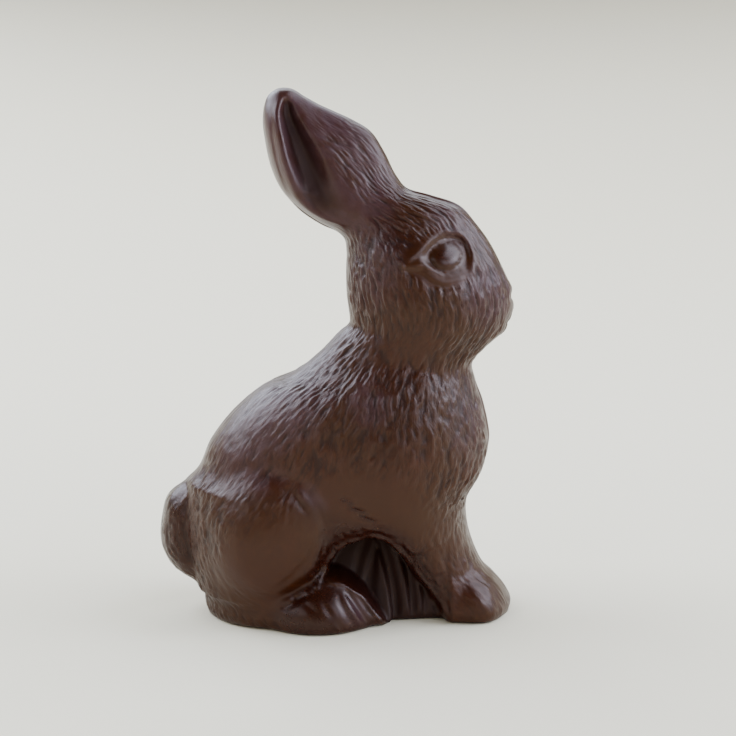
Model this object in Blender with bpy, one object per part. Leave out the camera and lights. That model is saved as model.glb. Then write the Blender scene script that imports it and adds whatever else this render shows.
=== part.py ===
"""Moulded chocolate rabbit, sitting on its haunches with its ears laid back.

The figure is cast in a two-part mould, so it is symmetric about the plane y = 0 and each half is a
relief over the side outline: y = -H(x, z) on the right half and y = +H(x, z) on the left half.
It faces +X, stands on z = 0, and all dimensions below are in millimetres.
"""
import math

import bmesh
import bpy
import numpy as np

MM = 0.001

# Cross-sections from the ear tip down to the base. Each is a chord from the back outline to the
# front outline: back x, back z, front x, front z, half width behind, half width in front,
# rounding radius at the back edge, rounding radius at the front edge.
STATIONS = (
    (-15.3, 144.2, -15.2, 144.2, 0.3, 0.3, 1.0, 1.0),
    (-17.5, 142.8, -12.4, 144.0, 2.9, 2.9, 2.6, 2.6),
    (-19.0, 140.0, -8.6, 141.9, 5.5, 4.0, 4.6, 6.0),
    (-19.6, 135.5, -4.8, 139.8, 8.0, 4.8, 5.8, 8.5),
    (-19.0, 130.0, -0.6, 137.9, 9.6, 5.6, 6.8, 10.5),
    (-17.5, 123.2, 4.4, 135.6, 10.8, 6.4, 7.2, 12.5),
    (-14.9, 117.4, 9.0, 132.7, 11.2, 7.2, 7.2, 14.5),
    (-9.8, 112.0, 13.0, 126.7, 11.2, 8.4, 7.4, 15.5),
    (-4.4, 108.3, 16.0, 120.8, 11.2, 10.2, 8.0, 16.0),
    (-0.1, 106.1, 19.4, 116.9, 11.2, 12.6, 10.0, 15.0),
    (2.2, 103.8, 25.4, 115.0, 13.0, 14.8, 12.0, 18.0),
    (2.8, 100.4, 32.6, 112.5, 15.4, 16.4, 14.0, 21.0),
    (2.7, 96.4, 39.6, 105.3, 17.4, 17.6, 15.0, 23.0),
    (2.7, 92.0, 44.6, 96.6, 18.6, 18.4, 16.0, 23.0),
    (2.9, 88.0, 47.4, 89.6, 19.0, 18.6, 17.0, 22.0),
    (3.4, 84.3, 47.7, 84.0, 18.8, 18.2, 18.0, 21.0),
    (3.6, 81.0, 45.9, 79.4, 18.2, 17.2, 18.0, 20.0),
    (0.1, 77.5, 40.6, 74.4, 17.4, 15.8, 18.0, 18.0),
    (-5.0, 72.2, 37.0, 70.0, 17.6, 15.6, 18.0, 17.0),
    (-11.6, 67.0, 37.8, 65.2, 18.9, 17.0, 20.0, 19.0),
    (-19.4, 63.7, 39.6, 59.0, 20.6, 19.2, 22.0, 23.0),
    (-28.0, 57.0, 41.1, 52.6, 22.2, 21.2, 25.0, 26.0),
    (-34.6, 48.6, 41.6, 47.2, 23.2, 22.2, 28.0, 28.0),
    (-38.4, 40.4, 39.9, 40.2, 23.6, 22.2, 29.0, 28.0),
    (-41.8, 36.8, 37.8, 36.2, 23.6, 21.8, 29.0, 26.0),
    (-46.6, 33.0, 35.9, 32.4, 23.5, 20.8, 29.0, 24.0),
    (-48.8, 26.2, 35.8, 26.0, 23.3, 19.2, 28.0, 22.0),
    (-48.9, 18.2, 37.9, 18.2, 23.0, 17.6, 26.0, 21.0),
    (-45.6, 12.2, 41.0, 12.2, 22.6, 16.6, 24.0, 20.0),
    (-40.6, 8.6, 44.5, 8.8, 22.4, 16.2, 22.0, 20.0),
    (-37.3, 5.6, 47.2, 5.4, 22.2, 16.0, 21.0, 20.0),
    (-37.0, 2.4, 48.4, 2.4, 21.8, 16.0, 20.0, 20.0),
    (-36.2, 0.0, 48.0, 0.0, 20.8, 15.2, 19.0, 19.0),
)
RING_POINTS = 39          # points across one half of each cross-section
RING_ZONES = ((0.0, 4), (8.0, 15), (52.0, 17), (94.0, 12), (128.0, 26), (166.0, 0))

# The rump edge hidden behind the tail, as height and x.
RUMP_EDGE = ((0.0, -36.4), (3.0, -37.6), (7.0, -39.0), (12.8, -40.6), (20.0, -42.0), (28.0, -42.8),
             (33.0, -42.2), (38.0, -40.8), (60.0, -30.0))
TAIL_MIDDLE_Z = 22.6
TAIL_HALF_HEIGHT = 18.2
TAIL_HALF_WIDTH = 10.5
TAIL_EDGE_RADIUS = 8.0

# Rounded masses laid over the trunk: middle x and z, half length, half height, the level that the
# mass starts from, and how far it rises above that level.
HAUNCH = (-19.5, 26.3, 18.8, 18.8, 17.0, 11.2)   # steep front edge of the thigh
RUMP = (-20.6, 25.4, 23.4, 22.6, 5.0, 23.2)      # its back, running into the trunk
SHOULDER = (15.0, 45.0, 26.0, 26.0, 10.0, 13.6)
HIND_FOOT = (-5.0, 2.0, 17.2, 14.0, 8.0, 18.8)
FRONT_PAW = (38.5, 3.0, 10.8, 10.5, 5.0, 11.6)
PAW_EDGE_RADIUS = 8.0
CHEEK = (24.0, 88.0, 21.0, 18.0, 7.0, 11.6)
MUZZLE_TAPER = 0.42       # how far the face narrows towards the nose
MUZZLE_LENGTH = 26.0

# The hollow between belly, hind foot and front leg: its upper edge and the foot's crest, as x and z.
ARCH_EDGE = ((-11.0, 9.2), (-4.7, 12.4), (-1.8, 17.2), (2.0, 22.0), (5.4, 23.7), (9.2, 25.0),
             (12.6, 24.2), (15.8, 21.4), (21.8, 13.0), (26.0, 7.4), (29.6, 0.0), (31.0, -6.0))
FOOT_CREST = ((-11.0, 8.0), (-7.0, 10.6), (-3.0, 13.2), (0.2, 13.3), (3.8, 11.4), (6.8, 8.8), (9.4, 5.4),
              (12.9, 0.0), (15.0, -6.0))
ARCH_ROLL_WIDTH = 7.0
ARCH_ROLL_DEPTH = 4.2
HOLLOW_WALL = 1.5
TUFT_TOP = 6.5            # half width of the grass tuft at the top of the hollow
TUFT_BASE = 14.2          # and where it meets the base
TUFT_HEIGHT = 25.0

# The ear's open side: a groove behind the rim. Its front and back edges as height and x, and its
# depth as height and depth.
GROOVE_RIM = ((106.0, 8.0), (108.2, 2.4), (109.1, -0.6), (111.2, -5.4), (115.5, -9.9), (118.3, -10.8),
              (122.3, -12.1), (126.3, -13.3), (130.5, -14.1), (134.4, -14.9), (137.8, -15.2),
              (140.2, -14.7), (142.0, -14.0), (144.5, -12.0))
GROOVE_BACK = ((106.0, 10.0), (109.0, 6.4), (111.0, 5.4), (113.7, 4.2), (116.2, 3.2), (120.2, 1.6),
               (124.1, -0.4), (127.6, -2.5), (132.0, -5.6), (137.3, -9.2), (140.7, -11.2),
               (141.4, -11.8), (144.5, -9.0))
GROOVE_DEPTH = ((106.0, 0.0), (109.0, 0.3), (111.5, 1.4), (114.5, 2.6), (118.0, 3.9), (121.5, 5.0),
                (126.0, 5.6), (131.0, 5.2), (135.5, 4.2), (139.0, 2.8), (140.3, 1.9), (141.2, 0.5),
                (141.8, 0.0), (144.5, 0.0))

EYE = (29.2, 100.5)       # middle of the eyeball
EYE_SIZE = (5.0, 4.4)
EYE_RISE = 1.9
EYE_SOCKET = (8.6, 6.6)
EYE_SOCKET_DEPTH = 1.2

BLEND = 2.4               # softness of the creases between masses


def smooth_curve(knots, values, at):
    """A cubic curve through the values at the knots, with averaged slopes, read at each of at."""
    knots = np.asarray(knots, dtype=float)
    values = np.asarray(values, dtype=float)
    step = np.diff(knots)
    slope = np.diff(values) / step
    tangent = np.empty_like(values)
    tangent[1:-1] = (slope[:-1] * step[1:] + slope[1:] * step[:-1]) / (step[1:] + step[:-1])
    tangent[0] = slope[0]
    tangent[-1] = slope[-1]
    at = np.clip(at, knots[0], knots[-1])
    cell = np.clip(np.searchsorted(knots, at, side="right") - 1, 0, len(knots) - 2)
    width = step[cell]
    u = (at - knots[cell]) / width
    rise = u * u * (3.0 - 2.0 * u)
    start = u * (1.0 - u) ** 2 * width
    end = u * u * (u - 1.0) * width
    return (values[cell] * (1.0 - rise) + values[cell + 1] * rise
            + tangent[cell] * start + tangent[cell + 1] * end)


def curve_through(points, at):
    """Smooth curve through (parameter, value) pairs."""
    knots, values = zip(*points)
    return smooth_curve(knots, values, at)


def smooth_step(low, high, value):
    """Ease from 0 at low to 1 at high."""
    u = np.clip((value - low) / (high - low), 0.0, 1.0)
    return u * u * (3.0 - 2.0 * u)


def smooth_max(a, b, softness):
    """The larger of two reliefs, with a rounded crease where they cross."""
    return 0.5 * (a + b + np.sqrt((a - b) ** 2 + softness ** 2))


def round_edge(distance, radius):
    """Quarter-circle rise from an edge: 0 on the edge, 1 from radius inwards."""
    u = np.clip(distance / radius, 0.0, 1.0)
    return np.sqrt(np.maximum(1.0 - (1.0 - u) ** 2, 0.0))


def mass(shape, x, z):
    """Half width of a rounded mass at x and z; it falls away outside its own outline."""
    middle_x, middle_z, length, height, level, rise = shape
    q = 1.0 - ((x - middle_x) / length) ** 2 - ((z - middle_z) / height) ** 2
    return np.where(q > 0.0, level + rise * np.sqrt(np.maximum(q, 0.0)), level + 30.0 * q)


def stations_at(path):
    """Chord ends, half widths and edge radii at distances along the figure from the ear tip."""
    table = np.array(STATIONS)
    middle = 0.5 * (table[:, 0:2] + table[:, 2:4])
    travel = np.hypot(*np.diff(middle, axis=0).T)
    side = 0.5 * (np.hypot(*np.diff(table[:, 0:2], axis=0).T)
                  + np.hypot(*np.diff(table[:, 2:4], axis=0).T))
    knots = np.concatenate(([0.0], np.cumsum(0.5 * (travel + side))))
    scaled = path * knots[-1] / RING_ZONES[-1][0]
    return [smooth_curve(knots, table[:, column], scaled) for column in range(table.shape[1])]


def masses(share, chord):
    """Relief of the rounded masses at shares of a chord, 0 at the back outline, 1 at the front."""
    back_x, back_z, front_x, front_z, wide_back, wide_front, round_back, round_front = chord
    x = back_x + (front_x - back_x) * share
    z = back_z + (front_z - back_z) * share
    length = np.hypot(front_x - back_x, front_z - back_z)
    from_back = share * length
    from_front = (1.0 - share) * length
    from_outline = np.minimum(from_back, from_front)

    rump = curve_through(RUMP_EDGE, z)
    clear_of_tail = 9.0 * smooth_step(36.0, 41.0, z)
    inside_rump = np.minimum(from_back, np.maximum(x - rump, 0.0) + clear_of_tail)
    shoulder = smooth_step(0.2, 0.9, share)
    wide = wide_back + (wide_front - wide_back) * shoulder
    face = smooth_step(70.0, 82.0, z) * smooth_step(118.0, 100.0, z)
    taper = 1.0 - MUZZLE_TAPER * face * (1.0 - smooth_step(0.0, 1.0, from_front / MUZZLE_LENGTH))
    front_edge = round_edge(from_front, round_front) * taper
    trunk_edge = round_edge(inside_rump, round_back) * front_edge
    relief = wide * trunk_edge

    crease = BLEND * round_edge(from_outline, 4.0)
    behind = smooth_step(-14.0, -27.0, x)
    thigh = mass(HAUNCH, x, z) * (1.0 - behind) + mass(RUMP, x, z) * behind
    relief = smooth_max(relief, thigh * round_edge(inside_rump, 20.0), crease * (0.6 + 0.8 * behind))
    relief = smooth_max(relief, mass(SHOULDER, x, z) * trunk_edge, 3.0 * crease)
    foot = mass(HIND_FOOT, x, z) * round_edge(inside_rump, 20.0)
    relief = smooth_max(relief, foot, crease)
    paw = mass(FRONT_PAW, x, z) * round_edge(from_front, PAW_EDGE_RADIUS)
    relief = smooth_max(relief, paw, crease)
    cheek = mass(CHEEK, x, z) * round_edge(from_outline, 18.0)
    relief = smooth_max(relief, cheek, 2.0 * crease)

    # tail: a rounded lobe behind the rump
    rise = 1.0 - ((z - TAIL_MIDDLE_Z) / TAIL_HALF_HEIGHT) ** 2
    tail = TAIL_HALF_WIDTH * np.sqrt(np.maximum(rise, 0.0)) * round_edge(from_back, TAIL_EDGE_RADIUS)
    tail = np.where(x < -30.0, tail, -9.0)
    relief = smooth_max(relief, tail, 0.8 * round_edge(from_back, 2.0) * (rise > 0.0))
    return x, z, relief, from_outline


def half_width(share, chord):
    """Relief H of the figure: the masses, less the hollow and the ear groove, with the eye."""
    x, z, relief, from_outline = masses(share, chord)

    # hollow under the belly, filled with the tuft
    arch = curve_through(ARCH_EDGE, x)
    crest = curve_through(FOOT_CREST, x)
    arch_lean = np.hypot(1.0, curve_through(ARCH_EDGE, x + 0.5) - curve_through(ARCH_EDGE, x - 0.5))
    crest_lean = np.hypot(1.0, curve_through(FOOT_CREST, x + 0.5) - curve_through(FOOT_CREST, x - 0.5))
    over_arch = (z - arch) / arch_lean
    over_crest = (z - crest) / crest_lean
    span = smooth_step(-16.0, -7.0, x) * smooth_step(33.0, 28.0, x)
    roll = np.clip(1.0 - np.maximum(over_arch, 0.0) / ARCH_ROLL_WIDTH, 0.0, 1.0) ** 2
    relief = relief - ARCH_ROLL_DEPTH * roll * span * smooth_step(0.0, 3.5, over_crest)
    inside = (smooth_step(0.1, -HOLLOW_WALL, over_arch) * smooth_step(0.0, HOLLOW_WALL, over_crest)
              * smooth_step(-11.0, -6.5, x) * (x < 31.0))
    tuft = TUFT_BASE + (TUFT_TOP - TUFT_BASE) * z / TUFT_HEIGHT
    relief = relief + (np.minimum(tuft, relief) - relief) * inside

    # ear groove: a steep wall behind the rim, a broad floor and a slope out of it
    rim = curve_through(GROOVE_RIM, z)
    back = curve_through(GROOVE_BACK, z)
    across = (x - rim) / np.maximum(back - rim, 0.6)
    wall = 0.75 * smooth_step(0.0, 0.26, across) + 0.25 * smooth_step(0.06, 0.55, across)
    slope = 1.0 - 0.80 * smooth_step(0.42, 0.92, across) - 0.20 * smooth_step(0.66, 1.20, across)
    depth = np.maximum(curve_through(GROOVE_DEPTH, z), 0.0) * (z > 106.0)
    relief = relief - depth * wall * slope * smooth_step(0.0, 2.0, from_outline)

    # eye: a shallow socket with the eyeball in it
    ball = np.hypot((x - EYE[0]) / EYE_SIZE[0], (z - EYE[1]) / EYE_SIZE[1])
    socket = np.hypot((x - EYE[0]) / EYE_SOCKET[0], (z - EYE[1]) / EYE_SOCKET[1])
    relief = relief - EYE_SOCKET_DEPTH * smooth_step(1.0, 0.55, socket)
    relief = relief + EYE_RISE * np.sqrt(np.maximum(1.0 - ball ** 2, 0.0))
    return x, z, np.maximum(relief, 0.0) * (from_outline > 1e-6)


def ring(path):
    """One half cross-section, evenly spaced along its surface from the back to the front."""
    fine = 0.5 - 0.5 * np.cos(np.linspace(0.0, math.pi, 601))
    chord = [float(column[0]) for column in stations_at(np.array([path]))]
    x, z, y, _ = masses(fine, chord)
    step = np.sqrt(np.diff(x) ** 2 + np.diff(y) ** 2 + np.diff(z) ** 2)
    run = np.concatenate(([0.0], np.cumsum(step)))
    share = np.interp(np.linspace(0.0, run[-1], RING_POINTS), run, fine)
    x, z, y = half_width(share, chord)
    return np.stack([x, y, z], axis=1)


def ring_places():
    """Distances of the rings from the ear tip, closer together where there is more detail."""
    places = []
    for (start, count), (end, _) in zip(RING_ZONES[:-1], RING_ZONES[1:]):
        places.extend(start + (end - start) * k / count for k in range(count))
    places.append(RING_ZONES[-1][0])
    return places[1:]


def build_rabbit():
    """Loft the rings into one closed solid: tip, skin and flat base."""
    bm = bmesh.new()
    tip_x, tip_z = STATIONS[0][0], STATIONS[0][1]
    tip = bm.verts.new((tip_x * MM, 0.0, tip_z * MM))
    rings = []
    for path in ring_places():
        half = ring(path) * MM
        right = [bm.verts.new((x, -y, z)) for x, y, z in half]
        left = [bm.verts.new((x, y, z)) for x, y, z in half[-2:0:-1]]
        rings.append(right + left)
    count = len(rings[0])
    for k in range(count):
        bm.faces.new((tip, rings[0][(k + 1) % count], rings[0][k]))
    for upper, lower in zip(rings[:-1], rings[1:]):
        for k in range(count):
            after = (k + 1) % count
            bm.faces.new((upper[k], upper[after], lower[after], lower[k]))
    base = rings[-1]
    last = RING_POINTS - 1
    bm.faces.new((base[0], base[1], base[count - 1]))
    for k in range(1, last - 1):
        bm.faces.new((base[k], base[k + 1], base[count - k - 1], base[count - k]))
    bm.faces.new((base[last - 1], base[last], base[last + 1]))
    bmesh.ops.recalc_face_normals(bm, faces=bm.faces)
    bmesh.ops.triangulate(bm, faces=bm.faces, quad_method="BEAUTY")
    mesh = bpy.data.meshes.new("chocolate_rabbit")
    bm.to_mesh(mesh)
    bm.free()
    mesh.shade_smooth()
    return mesh


def chocolate_material():
    """Dark brown chocolate with a soft satin gloss."""
    material = bpy.data.materials.new("dark_chocolate")
    material.use_nodes = True
    shader = material.node_tree.nodes["Principled BSDF"]
    shader.inputs["Base Color"].default_value = (0.066, 0.033, 0.020, 1.0)
    shader.inputs["Roughness"].default_value = 0.38
    shader.inputs["Metallic"].default_value = 0.0
    return material


def main():
    """Empty the scene and put the rabbit at the origin."""
    for old in list(bpy.data.objects):
        bpy.data.objects.remove(old, do_unlink=True)
    mesh = build_rabbit()
    mesh.materials.append(chocolate_material())
    rabbit = bpy.data.objects.new("chocolate_rabbit", mesh)
    bpy.context.collection.objects.link(rabbit)


main()
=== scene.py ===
"""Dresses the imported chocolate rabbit: a moulded dark chocolate figure on a pale studio floor.

The figure is cast in a two-part mould that parts at y = 0, so each half is a relief over the side
outline, y = -H(x, z) on the right half and y = +H(x, z) on the left. The rabbit faces +X and
stands on z = 0. Shapes are worked out in millimetres and written to the mesh in metres.
"""
import logging
import math
from dataclasses import dataclass, field
from enum import Enum
from typing import Sequence

import bpy
import numpy as np
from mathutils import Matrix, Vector


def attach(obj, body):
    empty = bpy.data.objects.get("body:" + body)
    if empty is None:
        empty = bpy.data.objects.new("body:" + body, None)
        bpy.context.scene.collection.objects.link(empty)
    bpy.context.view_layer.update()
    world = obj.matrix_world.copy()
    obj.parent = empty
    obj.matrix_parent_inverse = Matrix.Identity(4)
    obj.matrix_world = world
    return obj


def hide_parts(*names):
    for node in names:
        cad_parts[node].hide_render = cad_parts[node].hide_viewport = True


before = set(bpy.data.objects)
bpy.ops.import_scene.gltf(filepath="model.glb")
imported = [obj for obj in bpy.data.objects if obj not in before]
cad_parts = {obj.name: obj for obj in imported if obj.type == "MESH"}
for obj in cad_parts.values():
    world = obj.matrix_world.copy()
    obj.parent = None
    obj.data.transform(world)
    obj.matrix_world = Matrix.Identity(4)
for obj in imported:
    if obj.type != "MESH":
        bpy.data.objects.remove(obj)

LOG = logging.getLogger("chocolate_rabbit")
MM = 0.001
ABSENT = -9.0  # relief of a mass where it isn't, in mm
NODE = "chocolate_rabbit"
BODY = "root"
Array = np.ndarray
Colour = tuple[float, float, float, float]
Points = Sequence[tuple[float, float]]


# Shared curves and steps

def smooth_step(low: float, high: float, value: Array) -> Array:
    """Ease from 0 at low to 1 at high: 3u^2 - 2u^3 of the clipped share u.

    Args:
        low: value where the step starts.
        high: value where it is complete; below low for a falling step.
        value: array of any shape.

    Returns:
        Array of weights from 0 to 1.
    """
    u = np.clip((value - low) / (high - low), 0.0, 1.0)
    return u * u * (3.0 - 2.0 * u)


def smooth_max(a: Array, b: Array, softness: Array) -> Array:
    """Larger of two reliefs with a rounded crease: half of a + b + sqrt((a - b)^2 + softness^2).

    Args:
        a: first relief.
        b: second relief.
        softness: how wide the rounding is, in mm.

    Returns:
        The joined relief.
    """
    return 0.5 * (a + b + np.sqrt((a - b) ** 2 + softness ** 2))


def round_edge(distance: Array, radius: Array | float) -> Array:
    """Quarter circle from an edge: sqrt(1 - (1 - u)^2) with u the distance over the radius.

    Args:
        distance: distance from the edge.
        radius: distance at which the rise is complete.

    Returns:
        Array from 0 on the edge to 1 inside.
    """
    u = np.clip(distance / radius, 0.0, 1.0)
    return np.sqrt(np.maximum(1.0 - (1.0 - u) ** 2, 0.0))


def smooth_curve(knots: Array, values: Array, at: Array) -> Array:
    """Cubic curve through the values at the knots, with the slopes of its neighbours averaged.

    Args:
        knots: rising parameters.
        values: one value at each knot.
        at: parameters to read.

    Returns:
        Values at those parameters.
    """
    step = np.diff(knots)
    slope = np.diff(values) / step
    tangent = np.empty_like(values)
    tangent[1:-1] = (slope[:-1] * step[1:] + slope[1:] * step[:-1]) / (step[1:] + step[:-1])
    tangent[0] = slope[0]
    tangent[-1] = slope[-1]
    at = np.clip(at, knots[0], knots[-1])
    cell = np.clip(np.searchsorted(knots, at, side="right") - 1, 0, len(knots) - 2)
    width = step[cell]
    u = (at - knots[cell]) / width
    rise = u * u * (3.0 - 2.0 * u)
    start = u * (1.0 - u) ** 2 * width
    end = u * u * (u - 1.0) * width
    return (values[cell] * (1.0 - rise) + values[cell + 1] * rise
            + tangent[cell] * start + tangent[cell + 1] * end)


def curve_through(points: Points, at: Array) -> Array:
    """Smooth curve through (parameter, value) pairs, read at the given parameters.

    Args:
        points: pairs in rising order.
        at: parameters to read.

    Returns:
        Values at those parameters.
    """
    table = np.array(points, dtype=float)
    return smooth_curve(table[:, 0], table[:, 1], at)


def height_over(edge: Points, x: Array, z: Array) -> Array:
    """Distance over an edge given as x and height, measured across the edge's own slope.

    Args:
        edge: x and height of the edge.
        x: side-view x.
        z: side-view height.

    Returns:
        Distances, negative under the edge.
    """
    lean = np.hypot(1.0, curve_through(edge, x + 0.5) - curve_through(edge, x - 0.5))
    return (z - curve_through(edge, x)) / lean


def ring_faces(rings: int, around: int) -> tuple[Array, Array, Array]:
    """Faces of closed rings round one pole, which is vertex 0.

    Args:
        rings: how many rings.
        around: points in each ring.

    Returns:
        Triangles of the fan at the pole, quads between rings, and the rings' vertex numbers.
    """
    index = 1 + np.arange(rings * around).reshape(rings, around)
    after = np.roll(index, -1, axis=1)
    quads = np.stack((index[:-1], index[1:], after[1:], after[:-1]), axis=-1).reshape(-1, 4)
    fan = np.stack((np.zeros(around, dtype=int), index[0], after[0]), axis=-1)
    return fan, quads, index


def put_in_scene(name: str, data: bpy.types.ID) -> bpy.types.Object:
    """Object of that name for a mesh, light or camera, linked to the scene.

    Args:
        name: object name.
        data: what it shows.

    Returns:
        The object, at the origin.
    """
    item = bpy.data.objects.new(name, data)
    bpy.context.scene.collection.objects.link(item)
    return item


@dataclass(frozen=True)
class LatticeNoise:
    """Gradient noise: random slopes on a cubic lattice, blended with 6u^5 - 15u^4 + 10u^3.

    Attributes:
        seed: picks the slopes.
        cell: lattice spacing in mm.
    """

    seed: int
    cell: float

    def at(self, points: Array) -> Array:
        """Sum over the eight lattice corners of slope times offset, weighted by nearness.

        Args:
            points: array whose last axis is x, y, z.

        Returns:
            Noise of about -1 to 1, in the shape of the points without their last axis.
        """
        slopes = np.random.default_rng(self.seed).normal(size=(256, 3))
        slopes /= np.linalg.norm(slopes, axis=1, keepdims=True)
        scaled = points / self.cell
        corner = np.floor(scaled).astype(np.int64)
        inside = scaled - corner
        ease = inside ** 3 * (inside * (inside * 6.0 - 15.0) + 10.0)
        total = np.zeros(points.shape[:-1])
        for dx, dy, dz in np.ndindex(2, 2, 2):
            step = np.array([dx, dy, dz])
            key = (corner + step) * np.array([73856093, 19349663, 83492791])
            key = key[..., 0] ^ key[..., 1] ^ key[..., 2]
            key = (key ^ (key >> 13)) * 1274126177
            slope = slopes[(key ^ (key >> 16)) & 255]
            weight = np.prod(np.where(step == 1, ease, 1.0 - ease), axis=-1)
            total += weight * np.sum(slope * (inside - step), axis=-1)
        return total * 1.6


class Half(Enum):
    """The two halves of the mould; the value is the sign of y."""

    RIGHT = -1.0
    LEFT = 1.0


@dataclass(frozen=True)
class Mass:
    """A rounded mass laid over the trunk, an ellipsoid raised by a level.

    Attributes:
        x: middle, along the figure.
        z: middle height.
        length: half length.
        height: half height.
        level: half width where the ellipsoid starts.
        rise: how far it rises above that level.
    """

    x: float
    z: float
    length: float
    height: float
    level: float
    rise: float

    def relief(self, x: Array, z: Array) -> Array:
        """Level plus rise times sqrt(q), q being 1 minus the squared ellipse distance.

        Args:
            x: side-view x.
            z: side-view height.

        Returns:
            Half width of the mass, falling steeply below its level outside the ellipse.
        """
        q = 1.0 - ((x - self.x) / self.length) ** 2 - ((z - self.z) / self.height) ** 2
        inside = self.level + self.rise * np.sqrt(np.maximum(q, 0.0))
        return np.where(q > 0.0, inside, self.level + 30.0 * q)


@dataclass(frozen=True)
class Patch:
    """A soft elliptical patch of the side view, with a value for what it carries.

    Attributes:
        x: middle, along the figure.
        z: middle height.
        half_x: half length before tilting.
        half_z: half height before tilting.
        value: what the patch sets, such as a share, an angle or a depth.
        tilt: turn of the ellipse in degrees, from +X towards +Z.
        soft: share of the ellipse over which it fades.
    """

    x: float
    z: float
    half_x: float
    half_z: float
    value: float
    tilt: float = 0.0
    soft: float = 0.6

    def radius(self, x: Array, z: Array) -> Array:
        """Ellipse distance: 0 in the middle, 1 on the ellipse.

        Args:
            x: side-view x.
            z: side-view height.

        Returns:
            Array of distances.
        """
        turn = math.radians(self.tilt)
        along = (x - self.x) * math.cos(turn) + (z - self.z) * math.sin(turn)
        across = (z - self.z) * math.cos(turn) - (x - self.x) * math.sin(turn)
        return np.hypot(along / self.half_x, across / self.half_z)

    def weight(self, x: Array, z: Array) -> Array:
        """1 inside the patch, fading to 0 at its edge."""
        return smooth_step(1.0, 1.0 - self.soft, self.radius(x, z))


def strongest(patches: Sequence[Patch], x: Array, z: Array) -> Array:
    """Largest of the patches' values at each place, each fading at its own edge."""
    return np.max([patch.value * patch.weight(x, z) for patch in patches], axis=0)


@dataclass(frozen=True)
class Line:
    """A groove or bead along a broken line of the side view.

    Attributes:
        points: its corners as x, z.
        width: half width of the rounded profile.
        height: rise at its middle, negative for a groove.
        taper: share of the height left at its ends.
    """

    points: Points
    width: float
    height: float
    taper: float = 0.2

    def relief(self, x: Array, z: Array) -> Array:
        """Height times exp(-(d / width)^2), d being the distance to the line, tapered to its ends.

        Args:
            x: side-view x.
            z: side-view height.

        Returns:
            What the line adds to the relief.
        """
        nearest = np.full(x.shape, 1e9)
        along = np.zeros(x.shape)
        corners = np.array(self.points, dtype=float)
        lengths = np.hypot(*np.diff(corners, axis=0).T)
        starts = np.concatenate(([0.0], np.cumsum(lengths)))
        for k, length in enumerate(lengths):
            step = (corners[k + 1] - corners[k]) / length
            share = np.clip((x - corners[k, 0]) * step[0] + (z - corners[k, 1]) * step[1], 0.0, length)
            away = np.hypot(x - corners[k, 0] - share * step[0], z - corners[k, 1] - share * step[1])
            closer = away < nearest
            nearest = np.where(closer, away, nearest)
            along = np.where(closer, (starts[k] + share) / starts[-1], along)
        fade = self.taper + (1.0 - self.taper) * np.sin(np.pi * np.clip(along, 0.0, 1.0)) ** 0.7
        return self.height * fade * np.exp(-(nearest / self.width) ** 2)


# The figure

STATIONS = (
    (-15.3, 144.2, -15.2, 144.2, 0.3, 0.3, 1.0, 1.0),
    (-17.5, 142.8, -12.4, 144.0, 2.9, 2.9, 2.6, 2.6),
    (-19.0, 140.0, -8.6, 141.9, 5.5, 4.0, 4.6, 6.0),
    (-19.6, 135.5, -4.8, 139.8, 8.0, 4.8, 5.8, 8.5),
    (-19.0, 130.0, -0.6, 137.9, 9.6, 5.6, 6.8, 10.5),
    (-17.5, 123.2, 4.4, 135.6, 10.8, 6.4, 7.2, 12.5),
    (-14.9, 117.4, 9.0, 132.7, 11.2, 7.2, 7.2, 14.5),
    (-9.8, 112.0, 13.0, 126.7, 11.2, 8.4, 7.4, 15.5),
    (-4.4, 108.3, 16.0, 120.8, 11.2, 10.2, 8.0, 16.0),
    (-0.1, 106.1, 19.4, 116.9, 11.2, 12.6, 10.0, 15.0),
    (2.2, 103.8, 25.4, 115.0, 13.0, 14.8, 12.0, 18.0),
    (2.8, 100.4, 32.6, 112.5, 15.4, 16.4, 14.0, 21.0),
    (2.7, 96.4, 39.6, 105.3, 17.4, 17.6, 15.0, 23.0),
    (2.7, 92.0, 44.6, 96.6, 18.6, 18.4, 16.0, 23.0),
    (2.9, 88.0, 47.4, 89.6, 19.0, 18.6, 17.0, 22.0),
    (3.4, 84.3, 47.7, 84.0, 18.8, 18.2, 18.0, 21.0),
    (3.6, 81.0, 45.9, 79.4, 18.2, 17.2, 18.0, 20.0),
    (0.1, 77.5, 40.6, 74.4, 17.4, 15.8, 18.0, 18.0),
    (-5.0, 72.2, 37.0, 70.0, 17.6, 15.6, 18.0, 17.0),
    (-11.6, 67.0, 37.8, 65.2, 18.9, 17.0, 20.0, 19.0),
    (-19.4, 63.7, 39.6, 59.0, 20.6, 19.2, 22.0, 23.0),
    (-28.0, 57.0, 41.1, 52.6, 22.2, 21.2, 25.0, 26.0),
    (-34.6, 48.6, 41.6, 47.2, 23.2, 22.2, 28.0, 28.0),
    (-38.4, 40.4, 39.9, 40.2, 23.6, 22.2, 29.0, 28.0),
    (-41.8, 36.8, 37.8, 36.2, 23.6, 21.8, 29.0, 26.0),
    (-46.6, 33.0, 35.9, 32.4, 23.5, 20.8, 29.0, 24.0),
    (-48.8, 26.2, 35.8, 26.0, 23.3, 19.2, 28.0, 22.0),
    (-48.9, 18.2, 37.9, 18.2, 23.0, 17.6, 26.0, 21.0),
    (-45.6, 12.2, 41.0, 12.2, 22.6, 16.6, 24.0, 20.0),
    (-40.6, 8.6, 44.5, 8.8, 22.4, 16.2, 22.0, 20.0),
    (-37.3, 5.6, 47.2, 5.4, 22.2, 16.0, 21.0, 20.0),
    (-37.0, 2.4, 48.4, 2.4, 21.8, 16.0, 20.0, 20.0),
    (-36.2, 0.0, 48.0, 0.0, 20.8, 15.2, 19.0, 19.0),
)


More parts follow.
